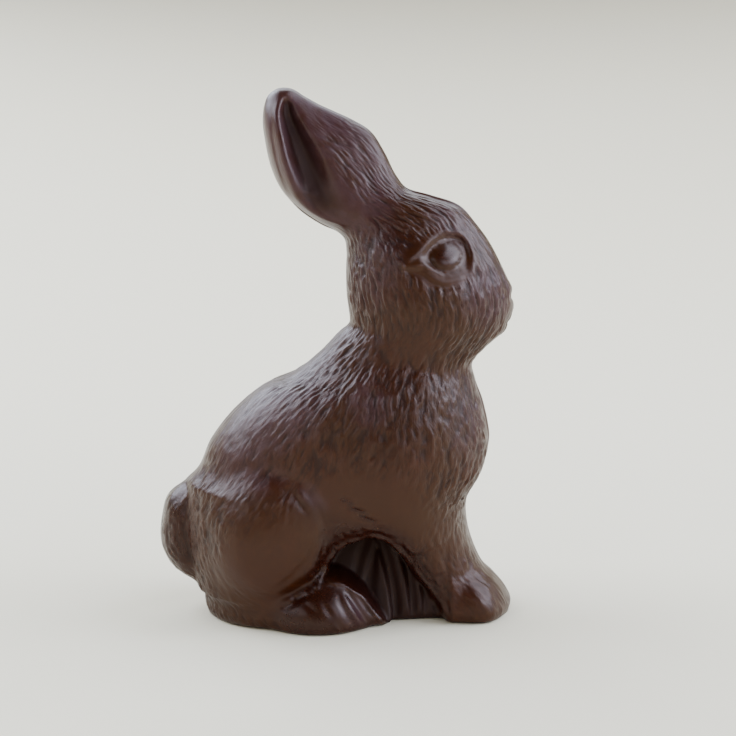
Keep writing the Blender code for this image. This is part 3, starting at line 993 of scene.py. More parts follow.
@dataclass
class ChocolateRabbit:
    """The whole figure, one closed skin of rings from the ear tip down to the flat base.

    Attributes:
        trunk: rounded masses.
        hollow: hollow under the belly.
        ear: groove of the ear.
        eye: eye and lids.
        coat: moulded fur.
        columns: points across one half of each ring.
        zones: path where a zone starts, and how many rings it has.
        base_round: radius of the lower edge.
        head_from: heights between which the bare skin round the eye starts.
        ear_into_head: path where the ear has ended, and where it is still whole.
        ear_fur: share of the fur's height on the ear.
        ear_comb: share of the fine hair lines on the ear.
        ear_tip: path between which the ear's fur starts.
        ear_rim: chord shares between which it starts behind the bare rim.
        ear_root: path between which it spreads over the rim as well.
        edge_fur: share of the fur's height near the outline.
        inner_fur: how much is added to that share towards the middle.
        wrinkle_cell: spacing of the wrinkles along the belly's edge.
        wrinkle_height: their height.
        bubble: x and z of the air bubble under the cheek.
        swells: slow unevenness of the cast, each as seed, cell and height.
        seam: height of the fine ridge where the mould parts.
        seam_width: half width of that ridge.
        flash: places where that ridge stands higher.
        shade_gloss_patches: places given painted shade in a darker red, and a lower roughness.
        sheen_patches: places given a painted lilac-grey sheen.
        carving: toes, creases, mouth, nostril, thigh edge and scuffs.
        profile: height, reach and rise of nose, lips and chin on the front outline.
        profile_width: how far they reach to each side.
    """

    trunk: Trunk = field(default_factory=Trunk)
    hollow: BellyHollow = field(default_factory=BellyHollow)
    ear: EarGroove = field(default_factory=EarGroove)
    eye: Eye = field(default_factory=Eye)
    coat: Coat = field(default_factory=Coat)
    columns: int = 201
    zones: tuple[tuple[float, int], ...] = ((0.0, 14), (8.0, 56), (52.0, 56), (94.0, 46),
                                            (128.0, 74), (166.0, 0))
    base_round: float = 1.2
    head_from: tuple[float, float] = (84.0, 90.0)
    ear_into_head: tuple[float, float] = (54.0, 40.0)
    ear_fur: float = 0.85
    ear_comb: float = 0.45
    ear_tip: tuple[float, float] = (8.0, 26.0)
    ear_rim: tuple[float, float] = (0.46, 0.62)
    ear_root: tuple[float, float] = (36.0, 46.0)
    edge_fur: float = 0.30
    inner_fur: float = 0.80
    wrinkle_cell: float = 1.5
    wrinkle_height: float = 0.42
    bubble: tuple[float, float] = (21.7, 82.3)
    swells: tuple[tuple[int, float, float], ...] = ((21, 9.0, 0.10), (22, 3.2, 0.03))
    seam: float = 0.16
    seam_width: float = 0.5
    # Painted shade with a lower roughness: foot, tail, ear roots, shoulder, eyeball, haunch and belly
    # creases.
    shade_gloss_patches: tuple[Patch, ...] = (
        Patch(-1.0, 5.0, 19.0, 10.5, 1.0, -6.0, 0.35), Patch(-46.0, 22.0, 9.0, 18.0, 0.9, 0.0, 0.5),
        Patch(0.0, 104.0, 9.0, 6.0, 0.5), Patch(15.0, 57.0, 14.0, 12.0, 0.45),
        Patch(17.0, 104.0, 8.0, 6.0, 0.6), Patch(29.2, 100.5, 4.6, 3.8, 0.9),
        Patch(-8.0, 36.0, 8.0, 5.0, 0.5, -40.0), Patch(2.8, 36.8, 3.2, 0.8, 1.0, -20.0),
        Patch(5.4, 34.4, 3.6, 0.9, 1.0, -25.0), Patch(8.2, 31.8, 4.0, 0.9, 1.0, -28.0),
    )
    # Painted lilac-grey sheen on ear, head, nose, neck, back, chest, haunch and toes.
    sheen_patches: tuple[Patch, ...] = (
        Patch(-3.0, 125.0, 29.0, 17.0, 1.0, -54.0, 0.4), Patch(9.0, 97.0, 11.0, 16.0, 0.75, 0.0, 0.7),
        Patch(-15.0, 58.0, 32.0, 11.0, 0.8, 40.0, 0.7), Patch(8.0, 63.0, 9.0, 9.0, 0.9, 0.0, 0.8),
        Patch(36.0, 58.0, 8.0, 18.0, 0.6, 0.0, 0.7), Patch(41.0, 90.0, 11.0, 12.0, 1.0, 0.0, 0.7),
        Patch(33.0, 108.0, 13.0, 7.0, 0.7, -30.0, 0.7), Patch(-22.0, 43.0, 12.0, 7.0, 0.6, 10.0, 0.7),
        Patch(-6.0, 38.0, 7.0, 3.5, 0.8, -50.0, 0.7), Patch(5.0, 6.0, 6.0, 5.0, 0.6, -60.0, 0.7),
    )
    flash: tuple[Patch, ...] = (
        Patch(27.0, 113.5, 13.0, 5.0, 0.45, -14.0), Patch(41.5, 57.0, 5.0, 13.0, 0.40),
        Patch(-6.0, 110.0, 9.0, 5.0, 0.35, -40.0), Patch(46.0, 80.0, 4.0, 5.0, 0.30),
    )
    profile_width: float = 4.5
    carving: tuple[Line, ...] = (
        Line(((-15.1, 7.9), (-9.8, 11.0), (-6.3, 13.2), (-4.3, 14.2)), 0.6, 0.50, 0.3),
        Line(((-14.6, 6.6), (-9.4, 9.6), (-6.0, 11.6)), 0.8, -0.60, 0.3),
        Line(((0.3, 9.9), (2.4, 6.0), (4.5, 2.4)), 0.9, -0.75, 0.3),
        Line(((1.6, 10.6), (3.9, 6.6), (6.2, 2.4)), 0.8, 0.45, 0.3),
        Line(((2.9, 10.4), (5.4, 6.8), (8.0, 2.7)), 0.8, -1.15, 0.4),
        Line(((5.6, 9.4), (7.6, 6.3), (9.8, 3.3)), 0.7, -1.0, 0.4),
        Line(((-0.8, 3.2), (1.4, 0.8)), 0.5, 0.35, 0.4),
        Line(((-8.6, 8.4), (-5.0, 6.2)), 0.8, -0.30, 0.3),
        Line(((-3.6, 8.8), (-1.0, 5.0)), 0.7, -0.25, 0.3),
        Line(((35.6, 15.0), (39.0, 10.4), (41.6, 4.4)), 0.9, -0.40, 0.2),
        Line(((39.6, 12.2), (43.0, 8.0), (44.8, 3.4)), 0.8, -0.40, 0.2),
        Line(((1.0, 37.6), (3.2, 36.6), (5.2, 36.2)), 0.7, -0.70, 0.3),
        Line(((2.6, 35.6), (5.2, 34.2), (8.0, 33.6)), 0.7, -0.80, 0.3),
        Line(((4.6, 33.4), (7.4, 31.8), (11.2, 30.8)), 0.7, -0.80, 0.3),
        Line(((8.0, 31.0), (10.4, 29.4), (13.0, 28.8)), 0.6, -0.45, 0.2),
        Line(((42.4, 90.8), (44.6, 89.8), (47.4, 89.0)), 0.6, -0.55, 0.4),
        Line(((42.2, 79.0), (44.2, 80.0), (46.6, 81.6)), 0.6, -0.60, 0.4),
        Line(((44.6, 87.2), (46.4, 84.6), (46.0, 82.0)), 0.6, -0.30, 0.4),
        Line(((-24.0, 43.6), (-18.0, 44.0), (-12.0, 42.4), (-7.4, 38.8), (-4.4, 34.6), (-2.4, 29.8),
              (-2.8, 24.0)), 1.2, -0.55, 0.1),
        Line(((-12.4, 42.4), (-8.8, 38.4), (-5.6, 33.6)), 1.3, 0.55, 0.2),
        Line(((-10.4, 43.6), (-6.4, 39.8), (-3.4, 35.4)), 0.9, -0.45, 0.2),
        Line(((-12.6, 40.6), (-9.6, 37.0), (-7.0, 33.0)), 0.8, -0.35, 0.2),
        Line(((-3.2, 31.6), (-4.0, 27.0), (-7.2, 21.2), (-11.8, 16.0), (-17.0, 12.6)), 1.0, -0.60, 0.1),
        Line(((-9.6, 116.2), (-8.0, 116.9), (-6.2, 116.5), (-5.2, 117.4)), 0.4, 0.35, 0.5),
        Line(((-4.2, 126.0), (-2.0, 121.6), (-0.4, 117.2)), 1.8, 0.35, 0.1),
        Line(((-17.0, 138.6), (-16.9, 132.0), (-15.7, 125.6), (-13.9, 119.4), (-12.4, 115.2),
              (-7.4, 110.4)), 0.55, -0.35, 0.3),
        Line(((-18.2, 134.0), (-17.6, 128.0), (-15.8, 121.0), (-14.0, 116.2), (-9.6, 111.6)), 0.45,
             -0.20, 0.3),
    )
    profile: tuple[tuple[float, float, float], ...] = ((90.6, 1.5, 0.45), (88.0, 0.8, -0.40),
                                                      (85.2, 1.6, 0.35), (81.0, 0.8, -0.45),
                                                      (78.4, 1.4, 0.20))

    def paths(self) -> Array:
        """Distances of the rings from the ear tip, without the tip itself.

        Returns:
            Rising distances up to the last zone.
        """
        places = [np.linspace(start, end, count, endpoint=False)
                  for (start, count), (end, _) in zip(self.zones[:-1], self.zones[1:])]
        return np.concatenate(places + [np.array([self.zones[-1][0]])])[1:]

    def shares(self, chords: Array) -> Array:
        """Chord shares that space the points evenly over the masses.

        Args:
            chords: station values of each ring.

        Returns:
            Array of shape (rings, columns) from 0 to 1.
        """
        rings = chords.shape[1]
        fine = 0.5 - 0.5 * np.cos(np.linspace(0.0, math.pi, 801))
        fine = np.tile(fine, (rings, 1))
        x, z, y, _ = self.trunk.relief(fine, chords)
        step = np.sqrt(np.diff(x) ** 2 + np.diff(y) ** 2 + np.diff(z) ** 2)
        run = np.concatenate((np.zeros((rings, 1)), np.cumsum(step, axis=1)), axis=1)
        offset = np.arange(rings)[:, None] * 2.0
        wanted = np.linspace(0.0, 1.0, self.columns)[None, :] + offset
        known = run / run[:, -1:] + offset
        return np.interp(wanted.ravel(), known.ravel(), fine.ravel()).reshape(rings, self.columns)

    def normals(self, grid: Array) -> Array:
        """Outward unit normals of the right half's grid, by crossing its two differences.

        Args:
            grid: points of shape (rings, columns, 3).

        Returns:
            Normals of the same shape.
        """
        mirror = np.array([1.0, -1.0, 1.0])
        wide = np.concatenate((grid[:, 1:2] * mirror, grid, grid[:, -2:-1] * mirror), axis=1)
        across = wide[:, 2:] - wide[:, :-2]
        along = np.gradient(grid, axis=0)
        normal = np.cross(along, across)
        normal /= np.maximum(np.linalg.norm(normal, axis=-1, keepdims=True), 1e-9)
        outward = np.where(np.sum(normal[:, 1:-1, 1]) > 0.0, -1.0, 1.0)
        return normal * outward

    def carved(self, x: Array, z: Array, relief: Array, skin: Array) -> Array:
        """Add the carved lines, the wrinkled edge and the bubble, and round the lower edge.

        The bubble is a small ring with a pit: two bells of the distance from its middle.

        Args:
            x: side-view x.
            z: side-view height.
            relief: half width so far.
            skin: 0 on the outline, rising to 1 a little inside it.

        Returns:
            The finished smooth relief, which is 0 on the outline.
        """
        for line in self.carving:
            relief = relief + line.relief(x, z) * skin
        noise = LatticeNoise(41, self.wrinkle_cell).at(np.stack((x, z * 0.8, 0.0 * x), axis=-1))
        relief = relief + self.wrinkle_height * noise * self.hollow.band(x, z)
        pit = np.hypot(x - self.bubble[0], z - self.bubble[1])
        relief = relief + 0.25 * np.exp(-((pit - 0.8) / 0.3) ** 2) - 0.3 * np.exp(-(pit / 0.5) ** 2)
        below = np.maximum(self.base_round - z, 0.0)
        inset = self.base_round - np.sqrt(np.maximum(self.base_round ** 2 - below ** 2, 0.0))
        relief = np.maximum(relief - inset * skin, 0.02)
        relief[:, 0] = 0.0
        relief[:, -1] = 0.0
        return relief

    def surface(self) -> dict[str, Array]:
        """Work out the right half's smooth grid and its masks.

        Returns:
            Arrays by name: grid (x, y, z), x, z, fur share, and the masks hollow, combed (fine
            hair lines), groove, polish and bloom.
        """
        path = self.paths()
        chords = self.trunk.chords(path)
        share = self.shares(chords)
        share[:, 0] = 0.0
        share[:, -1] = 1.0
        x, z, relief, edge = self.trunk.relief(share, chords)
        for middle, width, rise in self.profile:
            lip = rise * np.exp(-((z - middle) / width) ** 2) * (x > 20.0)
            x = x + lip * np.exp(-(relief / self.profile_width) ** 2)
        relief, inside = self.hollow.carve(x, z, relief)
        groove, groove_mask = self.ear.relief(x, z)
        skin = smooth_step(0.0, 3.0, edge)
        relief = relief + groove * smooth_step(0.0, 2.0, edge)
        head = smooth_step(*self.head_from, z) * (x > 14.0)
        relief = relief + self.eye.relief(x, z) * head * skin
        relief = self.carved(x, z, relief, skin)
        grid = np.stack((x, -relief, z), axis=-1)
        on_ear = smooth_step(*self.ear_into_head, path)[:, None]
        root = smooth_step(*self.ear_root, path)[:, None]
        bare_rim = np.maximum(smooth_step(*self.ear_rim, share), root)
        ear_fur = smooth_step(*self.ear_tip, path)[:, None] * bare_rim * self.ear_fur
        fur = self.coat.amount(x, z) * ((1.0 - on_ear) + on_ear * ear_fur)
        fur = fur * (1.0 - self.eye.smooth(x, z) * head) * (1.0 - 0.95 * inside)
        fur = fur * smooth_step(0.0, 2.5, z) * smooth_step(0.1, 2.0, relief)
        fur = fur * (self.edge_fur + self.inner_fur * smooth_step(0.5, 12.0, relief))
        combed = np.maximum(fur, self.ear_comb * on_ear * (1.0 - groove_mask))
        # Painted shade with a lower roughness along the band over the arch and on its patches.
        polish = np.maximum(self.hollow.band(x, z), strongest(self.shade_gloss_patches, x, z))
        # Painted lilac-grey sheen on its own patches.
        bloom = strongest(self.sheen_patches, x, z)
        return {"grid": grid, "x": x, "z": z, "fur": fur, "hollow": inside, "combed": combed,
                "groove": groove_mask, "polish": polish, "bloom": bloom}

    def half(self, surface: dict[str, Array], half: Half) -> tuple[Array, ...]:
        """One half with its fur and seam.

        Args:
            surface: arrays of the right half from surface().
            half: which half of the mould.

        Returns:
            Points of shape (rings, columns, 3), the fur pattern on them, and its lean.
        """
        grid = surface["grid"].copy()
        normal = self.normals(grid)
        seen = grid * np.array([1.0, -half.value, 1.0])
        lean = self.coat.lean(seen, surface["x"], surface["z"])
        pattern = self.coat.relief(seen, grid, normal, lean)
        slow = sum(LatticeNoise(seed, cell).at(seen) * height for seed, cell, height in self.swells)
        rise = self.coat.height * pattern * surface["fur"]
        away = -grid[..., 1]
        rise = rise + slow * smooth_step(0.0, 2.0, away) * smooth_step(0.0, 4.0, surface["z"])
        seam = np.full(away.shape, self.seam)
        for patch in self.flash:
            seam = seam + patch.value * patch.weight(surface["x"], surface["z"])
        ridge = np.exp(-(away / self.seam_width) ** 2)
        rise = rise + seam * ridge * smooth_step(0.0, 1.5, surface["z"])
        grid = grid + normal * rise[..., None]
        grid[:, 0, 1] = 0.0
        grid[:, -1, 1] = 0.0
        grid[:, 1:-1, 1] = np.minimum(grid[:, 1:-1, 1], -0.01)
        grid[-1, :, 2] = 0.0
        return grid * np.array([1.0, -half.value, 1.0]), pattern * surface["fur"], lean

    def rings(self) -> tuple[Array, dict[str, Array]]:
        """Closed rings and the values that the finish reads on them.

        Returns:
            Points of shape (rings, around, 3), and values of shape (rings, around) by name.
        """
        surface = self.surface()
        right, right_fur, right_lean = self.half(surface, Half.RIGHT)
        left, left_fur, left_lean = self.half(surface, Half.LEFT)

        def around(first: Array, second: Array) -> Array:
            """Join the halves: right from back to front, then left from front to back."""
            return np.concatenate((first, second[:, -2:0:-1]), axis=1)

        values = {"strand": around(right_fur, left_fur), "lean": around(right_lean, left_lean)}
        for name in ("hollow", "combed", "groove", "polish", "bloom"):
            values[name] = around(surface[name], surface[name])
        return around(right, left), values

    def build(self) -> bpy.types.Object:
        """Make the mesh: tip fan, quads between rings, and strips across the flat base.

        Returns:
            The finished object, placed at the origin.
        """
        points, values = self.rings()
        rings, around, _ = points.shape
        tip_x, tip_z = self.trunk.stations[0][0], self.trunk.stations[0][1]
        vertices = np.concatenate((np.array([[tip_x, 0.0, tip_z]]), points.reshape(-1, 3))) * MM
        fan, quads, index = ring_faces(rings, around)
        last = self.columns - 1
        base = index[-1]
        near = base[1:last]
        far = base[:last:-1]
        strip = np.stack((near[:-1], far[:-1], far[1:], near[1:]), axis=-1)
        ends = np.array([[base[0], far[0], near[0]], [near[-1], far[-1], base[last]]])
        triangles = np.concatenate((fan, ends))
        quads = np.concatenate((quads, strip))
        mesh = bpy.data.meshes.new("chocolate_rabbit_skin")
        mesh.vertices.add(len(vertices))
        mesh.vertices.foreach_set("co", vertices.astype(np.float32).ravel())
        loops = np.concatenate((triangles.ravel(), quads.ravel()))
        starts = np.concatenate((np.arange(len(triangles)) * 3,
                                 3 * len(triangles) + np.arange(len(quads)) * 4))
        mesh.loops.add(len(loops))
        mesh.loops.foreach_set("vertex_index", loops.astype(np.int32))
        mesh.polygons.add(len(starts))
        mesh.polygons.foreach_set("loop_start", starts.astype(np.int32))
        mesh.update(calc_edges=True)
        mesh.validate()
        mesh.shade_smooth()
        for name, value in values.items():
            layer = mesh.attributes.new(name, "FLOAT", "POINT")
            layer.data.foreach_set("value", np.concatenate(([0.0], value.ravel())).astype(np.float32))
        return put_in_scene(mesh.name, mesh)


# Finishes

@dataclass(frozen=True)
class NodeMaker:
    """Small helper that adds and links nodes of one tree.

    Attributes:
        tree: the tree that it builds in.
    """

    tree: bpy.types.NodeTree

    def add(self, kind: str, inputs: dict | None = None, **settings: object) -> bpy.types.Node:
        """Add a node, set its properties, and set or link its inputs.

        Args:
            kind: the node's bl_idname.
            inputs: socket name or number to a constant or to an output socket.
            settings: node properties.

        Returns:
            The new node.
        """
        node = self.tree.nodes.new(kind)
        for name, value in settings.items():
            setattr(node, name, value)
        for name, value in (inputs or {}).items():
            if isinstance(value, bpy.types.NodeSocket):
                self.tree.links.new(value, node.inputs[name])
            else:
                node.inputs[name].default_value = value
        return node

    def math(self, operation: str, *values: object) -> bpy.types.NodeSocket:
        """Math node over constants or sockets, and its output."""
        node = self.add("ShaderNodeMath", dict(enumerate(values)), operation=operation)
        return node.outputs[0]

    def mix(self, share: object, first: object, second: object) -> bpy.types.NodeSocket:
        """Colour mix from first to second by share, and its output."""
        node = self.add("ShaderNodeMix", {0: share, 6: first, 7: second}, data_type="RGBA")
        return node.outputs[2]

    def noise(self, vector: object, scale: object, detail: float = 3.0) -> bpy.types.NodeSocket:
        """Noise texture value at a scale per metre."""
        node = self.add("ShaderNodeTexNoise", {"Vector": vector, "Scale": scale, "Detail": detail})
        return node.outputs[0]

    def ramp(self, value: bpy.types.NodeSocket, low: float, high: float) -> bpy.types.NodeSocket:
        """Value mapped from low..high to 0..1 and clipped."""
        node = self.add("ShaderNodeMapRange", {"Value": value, 1: low, 2: high})
        return node.outputs[0]


def height_group(name: str, inputs: Sequence[str]) -> tuple[NodeMaker, bpy.types.Node]:
    """Start a node group that turns a Vector and some numbers into a Height.

    Args:
        name: the group's name.
        inputs: names of the number inputs that follow Vector.

    Returns:
        A maker for the group's tree, and the node that gives its inputs.
    """
    tree = bpy.data.node_groups.new(name, "ShaderNodeTree")
    tree.interface.new_socket(name="Vector", in_out="INPUT", socket_type="NodeSocketVector")
    for socket in inputs:
        tree.interface.new_socket(name=socket, in_out="INPUT", socket_type="NodeSocketFloat")
    tree.interface.new_socket(name="Height", in_out="OUTPUT", socket_type="NodeSocketFloat")
    make = NodeMaker(tree)
    return make, make.add("NodeGroupInput")


def grain_group() -> bpy.types.NodeTree:
    """Node group for fine surface grain: noise with sparse sunk specks, as one height.

    Returns:
        The group, with inputs Vector, Scale and Specks, and output Height.
    """
    name = "surface_grain"
    if name in bpy.data.node_groups:
        return bpy.data.node_groups[name]
    make, given = height_group(name, ("Scale", "Specks"))
    coarse = make.noise(given.outputs[0], given.outputs[1])
    quick = make.math("MULTIPLY", given.outputs[1], 2.7)
    cells = make.add("ShaderNodeTexVoronoi", {"Vector": given.outputs[0], "Scale": quick})
    speck = make.ramp(cells.outputs["Distance"], 0.16, 0.05)
    rare = make.ramp(make.add("ShaderNodeSeparateColor",
                              {0: cells.outputs["Color"]}).outputs[0], 0.90, 0.94)
    mask = make.math("MULTIPLY", speck, rare)
    pits = make.math("MULTIPLY", mask, given.outputs[2])
    height = make.math("SUBTRACT", coarse, pits)
    make.add("NodeGroupOutput", {0: height})
    return make.tree


def hair_group() -> bpy.types.NodeTree:
    """Node group for hair lines finer than the mesh: stretched noise turned to the fur's lay.

    Five noises, stretched along leans of -60 to 60 degrees, are mixed by how near each is to
    the lean at that point.

    Returns:
        The group, with inputs Vector, Lean (radians), Width and Length, and output Height.
    """
    make, given = height_group("hair_lines", ("Lean", "Width", "Length"))
    size = make.add("ShaderNodeCombineXYZ", {0: given.outputs["Width"], 1: given.outputs["Width"],
                                             2: given.outputs["Length"]})
    total: bpy.types.NodeSocket | float = 0.0
    spacing = math.radians(30.0)
    for k in range(-2, 3):
        turned = make.add("ShaderNodeMapping", {"Vector": given.outputs["Vector"],
                                                "Rotation": (0.0, k * spacing, 0.0),
                                                "Scale": size.outputs[0]}, vector_type="TEXTURE")
        lines = make.noise(turned.outputs[0], 1.0, 1.5)
        away = make.math("ABSOLUTE", make.math("SUBTRACT", given.outputs["Lean"], k * spacing))
        near = make.ramp(away, spacing, 0.0)
        total = make.math("MULTIPLY_ADD", lines, near, total)
    make.add("NodeGroupOutput", {0: total})
    return make.tree


@dataclass(frozen=True)
class ChocolateFinish:
    """Dark chocolate with a satin mould gloss.

    Attributes:
        painted_shade: painted shade in the valleys of the fur and in the hollows.
        body: main colour.
        warm: redder colour of thin rubbed places.
        deep: darker red of the painted shade on the places of the polish mask.
        sheen_colour: lilac-grey colour of the painted sheen.
        ridge_film_and_sheen: pale colour on the ridges, partly painted sheen and partly a coating of cocoa
            butter.
        sheen_tint: warm tint of its reflections.
        deep_shade_share, sheen_share, valley_shade_share, ridge_film_and_sheen_share, recess_shade_share:
        how strongly polish, bloom,
            valleys, ridges and hollows take on those colours.
        refraction: index of refraction, for the strength of the reflections.
        roughness: middle roughness.
        cloud_roughness, cavity_roughness, valley_roughness, polish_roughness: what fine clouds,
            hollows, valleys and polish add to it.
        cloud_scale, fine_cloud_scale, grain_scale: sizes of the mottling and grain, per metre.
        speck_depth: depth of the sunk specks against the grain.
        grain_depth: depth of the fine grain in metres.
        hair_width, hair_length, hair_depth: size of the hair lines in metres.
    """

    painted_shade: Colour = (0.011, 0.0016, 0.0010, 1.0)
    body: Colour = (0.030, 0.0084, 0.0010, 1.0)
    warm: Colour = (0.032, 0.0064, 0.0010, 1.0)
    deep: Colour = (0.017, 0.0022, 0.0006, 1.0)
    sheen_colour: Colour = (0.052, 0.0240, 0.0310, 1.0)
    ridge_film_and_sheen: Colour = (0.062, 0.0290, 0.0260, 1.0)
    sheen_tint: Colour = (1.0, 0.84, 0.78, 1.0)
    deep_shade_share: float = 0.85
    sheen_share: float = 0.70
    valley_shade_share: float = 0.80
    ridge_film_and_sheen_share: float = 0.28
    recess_shade_share: float = 0.88
    refraction: float = 1.37
    roughness: float = 0.33
    cloud_roughness: float = 0.16
    cavity_roughness: float = 0.22
    valley_roughness: float = 0.08
    polish_roughness: float = -0.06
    cloud_scale: float = 45.0
    fine_cloud_scale: float = 260.0
    grain_scale: float = 900.0
    speck_depth: float = 0.5
    grain_depth: float = 0.00006
    hair_width: float = 0.00042
    hair_length: float = 0.0028
    hair_depth: float = 0.00016

    def material(self) -> bpy.types.Material:
        """Build the node material.

        Returns:
            The material, reading Object coordinates and the skin's own attributes.
        """
        material = bpy.data.materials.new("dark_chocolate_satin")
        material.use_nodes = True
        tree = material.node_tree
        tree.nodes.clear()
        make = NodeMaker(tree)
        where = make.add("ShaderNodeTexCoord").outputs["Object"]
        strand, hollow, fur, lean, groove, polish, bloom = (
            make.add("ShaderNodeAttribute", attribute_name=name).outputs["Fac"]
            for name in ("strand", "hollow", "combed", "lean", "groove", "polish", "bloom"))
        grain = make.add("ShaderNodeGroup", {"Vector": where, "Scale": self.grain_scale,
                                             "Specks": self.speck_depth}, node_tree=grain_group())
        hair = make.add("ShaderNodeGroup", {"Vector": where, "Lean": lean, "Width": self.hair_width,
                                            "Length": self.hair_length}, node_tree=hair_group())
        cloud = make.noise(where, self.cloud_scale)
        fine_cloud = make.noise(where, self.fine_cloud_scale)

        tone = make.mix(make.ramp(cloud, 0.35, 0.70), self.body, self.warm)
        # Painted shade: a darker red on the foot, tail, ear roots, shoulder, eyeball, creases and arch
        # band.
        tone = make.mix(make.math("MULTIPLY", polish, self.deep_shade_share), tone, self.deep)
        # Painted sheen: lilac-grey colour, broken up by fine clouds.
        sheen_amount = make.math("MULTIPLY", bloom, make.ramp(fine_cloud, 0.20, 0.60))
        tone = make.mix(make.math("MULTIPLY", sheen_amount, self.sheen_share), tone, self.sheen_colour)
        # Painted shade in the valleys of the fur and along the fine hair lines.
        hair_line_shade = make.math("MULTIPLY", make.ramp(hair.outputs[0], 0.50, 0.30), fur)
        valley_shade = make.math("MAXIMUM", make.ramp(strand, 0.1, -1.1), make.math("MULTIPLY", hair_line_shade, 0.6))
        tone = make.mix(make.math("MULTIPLY", valley_shade, self.valley_shade_share), tone, self.painted_shade)
        # Pale colour on the fur's ridges: partly painted sheen, partly a coating of cocoa butter.
        ridge = make.ramp(strand, 0.2, 1.6)
        ridge_film_and_sheen_amount = make.math("MULTIPLY", ridge, make.ramp(fine_cloud, 0.35, 0.70))
        tone = make.mix(make.math("MULTIPLY", ridge_film_and_sheen_amount, self.ridge_film_and_sheen_share), tone, self.ridge_film_and_sheen)
        # Painted shade in the hollow under the belly and in the ear groove.
        recess_shade = make.math("MAXIMUM", hollow, groove)
        tone = make.mix(make.math("MULTIPLY", recess_shade, self.recess_shade_share), tone, self.painted_shade)

        rough: bpy.types.NodeSocket | float = self.roughness - 0.5 * self.cloud_roughness
        for mask, change in ((fine_cloud, self.cloud_roughness), (recess_shade, self.cavity_roughness),
                             (valley_shade, self.valley_roughness), (polish, self.polish_roughness)):
            rough = make.math("MULTIPLY_ADD", mask, change, rough)

        hair_height = make.math("MULTIPLY", hair.outputs[0], fur)
        combed = make.add("ShaderNodeBump", {"Strength": 1.0, "Distance": self.hair_depth,
                                             "Height": hair_height})
        bump = make.add("ShaderNodeBump", {"Strength": 0.35, "Distance": self.grain_depth,
                                           "Height": grain.outputs["Height"],
                                           "Normal": combed.outputs[0]})
        shader = make.add("ShaderNodeBsdfPrincipled", {
            "Base Color": tone, "Roughness": rough, "Normal": bump.outputs[0],
            "IOR": self.refraction, "Specular Tint": self.sheen_tint})
        make.add("ShaderNodeOutputMaterial", {"Surface": shader.outputs[0]})
        return material


@dataclass(frozen=True)
class StudioPaper:
    """Plain pale floor paper with a faint tooth.

    Attributes:
        colour: its colour.
        roughness: its roughness.
        tooth_scale: size of the tooth, per metre.
        tooth_depth: its depth in metres.
    """

    colour: Colour = (0.84, 0.765, 0.58, 1.0)
    roughness: float = 0.9
    tooth_scale: float = 700.0
    tooth_depth: float = 0.0001

    def material(self) -> bpy.types.Material:
        """Build the paper's material with the shared grain.

        Returns:
            The material.
        """
        material = bpy.data.materials.new("pale_paper")
        material.use_nodes = True
        tree = material.node_tree
        shader = tree.nodes["Principled BSDF"]
        make = NodeMaker(tree)
        where = make.add("ShaderNodeTexCoord").outputs["Object"]
        grain = make.add("ShaderNodeGroup", {"Vector": where, "Scale": self.tooth_scale,
                                             "Specks": 0.0}, node_tree=grain_group())
        bump = make.add("ShaderNodeBump", {"Strength": 0.15, "Distance": self.tooth_depth,
                                           "Height": grain.outputs["Height"]})
        tree.links.new(bump.outputs[0], shader.inputs["Normal"])
        shader.inputs["Base Color"].default_value = self.colour
        shader.inputs["Roughness"].default_value = self.roughness
        return material


# Studio

@dataclass(frozen=True)
class StudioBowl:
    """A round pale floor that curves up into a low wall all round, so every view is backed.

    Attributes:
        floor_radius: flat part.
        curve_radius: radius of the sweep into the wall.
        wall_height: top of the wall.
        first_ring: radius of the ring next to the middle.
        flat_rings: rings on the flat part.
        curve_steps: rings in the sweep.
        around: points in each ring.
        paper: its finish.
    """

    floor_radius: float = 0.35
    curve_radius: float = 1.6
    wall_height: float = 1.7
    first_ring: float = 0.02
    flat_rings: int = 24
    curve_steps: int = 40
    around: int = 96
    paper: StudioPaper = field(default_factory=StudioPaper)

    def build(self) -> bpy.types.Object:
        """Turn the profile (flat, quarter circle, upright) round the Z axis.

        Returns:
            The floor object.
        """
        turn = np.linspace(-0.5 * math.pi, 0.0, self.curve_steps + 1)
        radius = np.concatenate((np.linspace(self.first_ring, self.floor_radius, self.flat_rings),
                                 self.floor_radius + self.curve_radius * np.cos(turn[1:]),
                                 [self.floor_radius + self.curve_radius]))
        height = np.concatenate((np.zeros(self.flat_rings), self.curve_radius * (1.0 + np.sin(turn[1:])),
                                 [self.wall_height]))
        angle = np.linspace(0.0, 2.0 * math.pi, self.around + 1)[:-1]
        x = radius[:, None] * np.cos(angle)
        y = radius[:, None] * np.sin(angle)
        z = np.broadcast_to(height[:, None], x.shape)
        points = np.concatenate((np.zeros((1, 3)), np.stack((x, y, z), axis=-1).reshape(-1, 3)))
        fan, quads, _ = ring_faces(*x.shape)
        mesh = bpy.data.meshes.new("studio_floor")
        mesh.from_pydata(points.tolist(), [], fan.tolist() + quads.tolist())
        mesh.shade_smooth()
        mesh.materials.append(self.paper.material())
        floor = put_in_scene(mesh.name, mesh)
        return floor


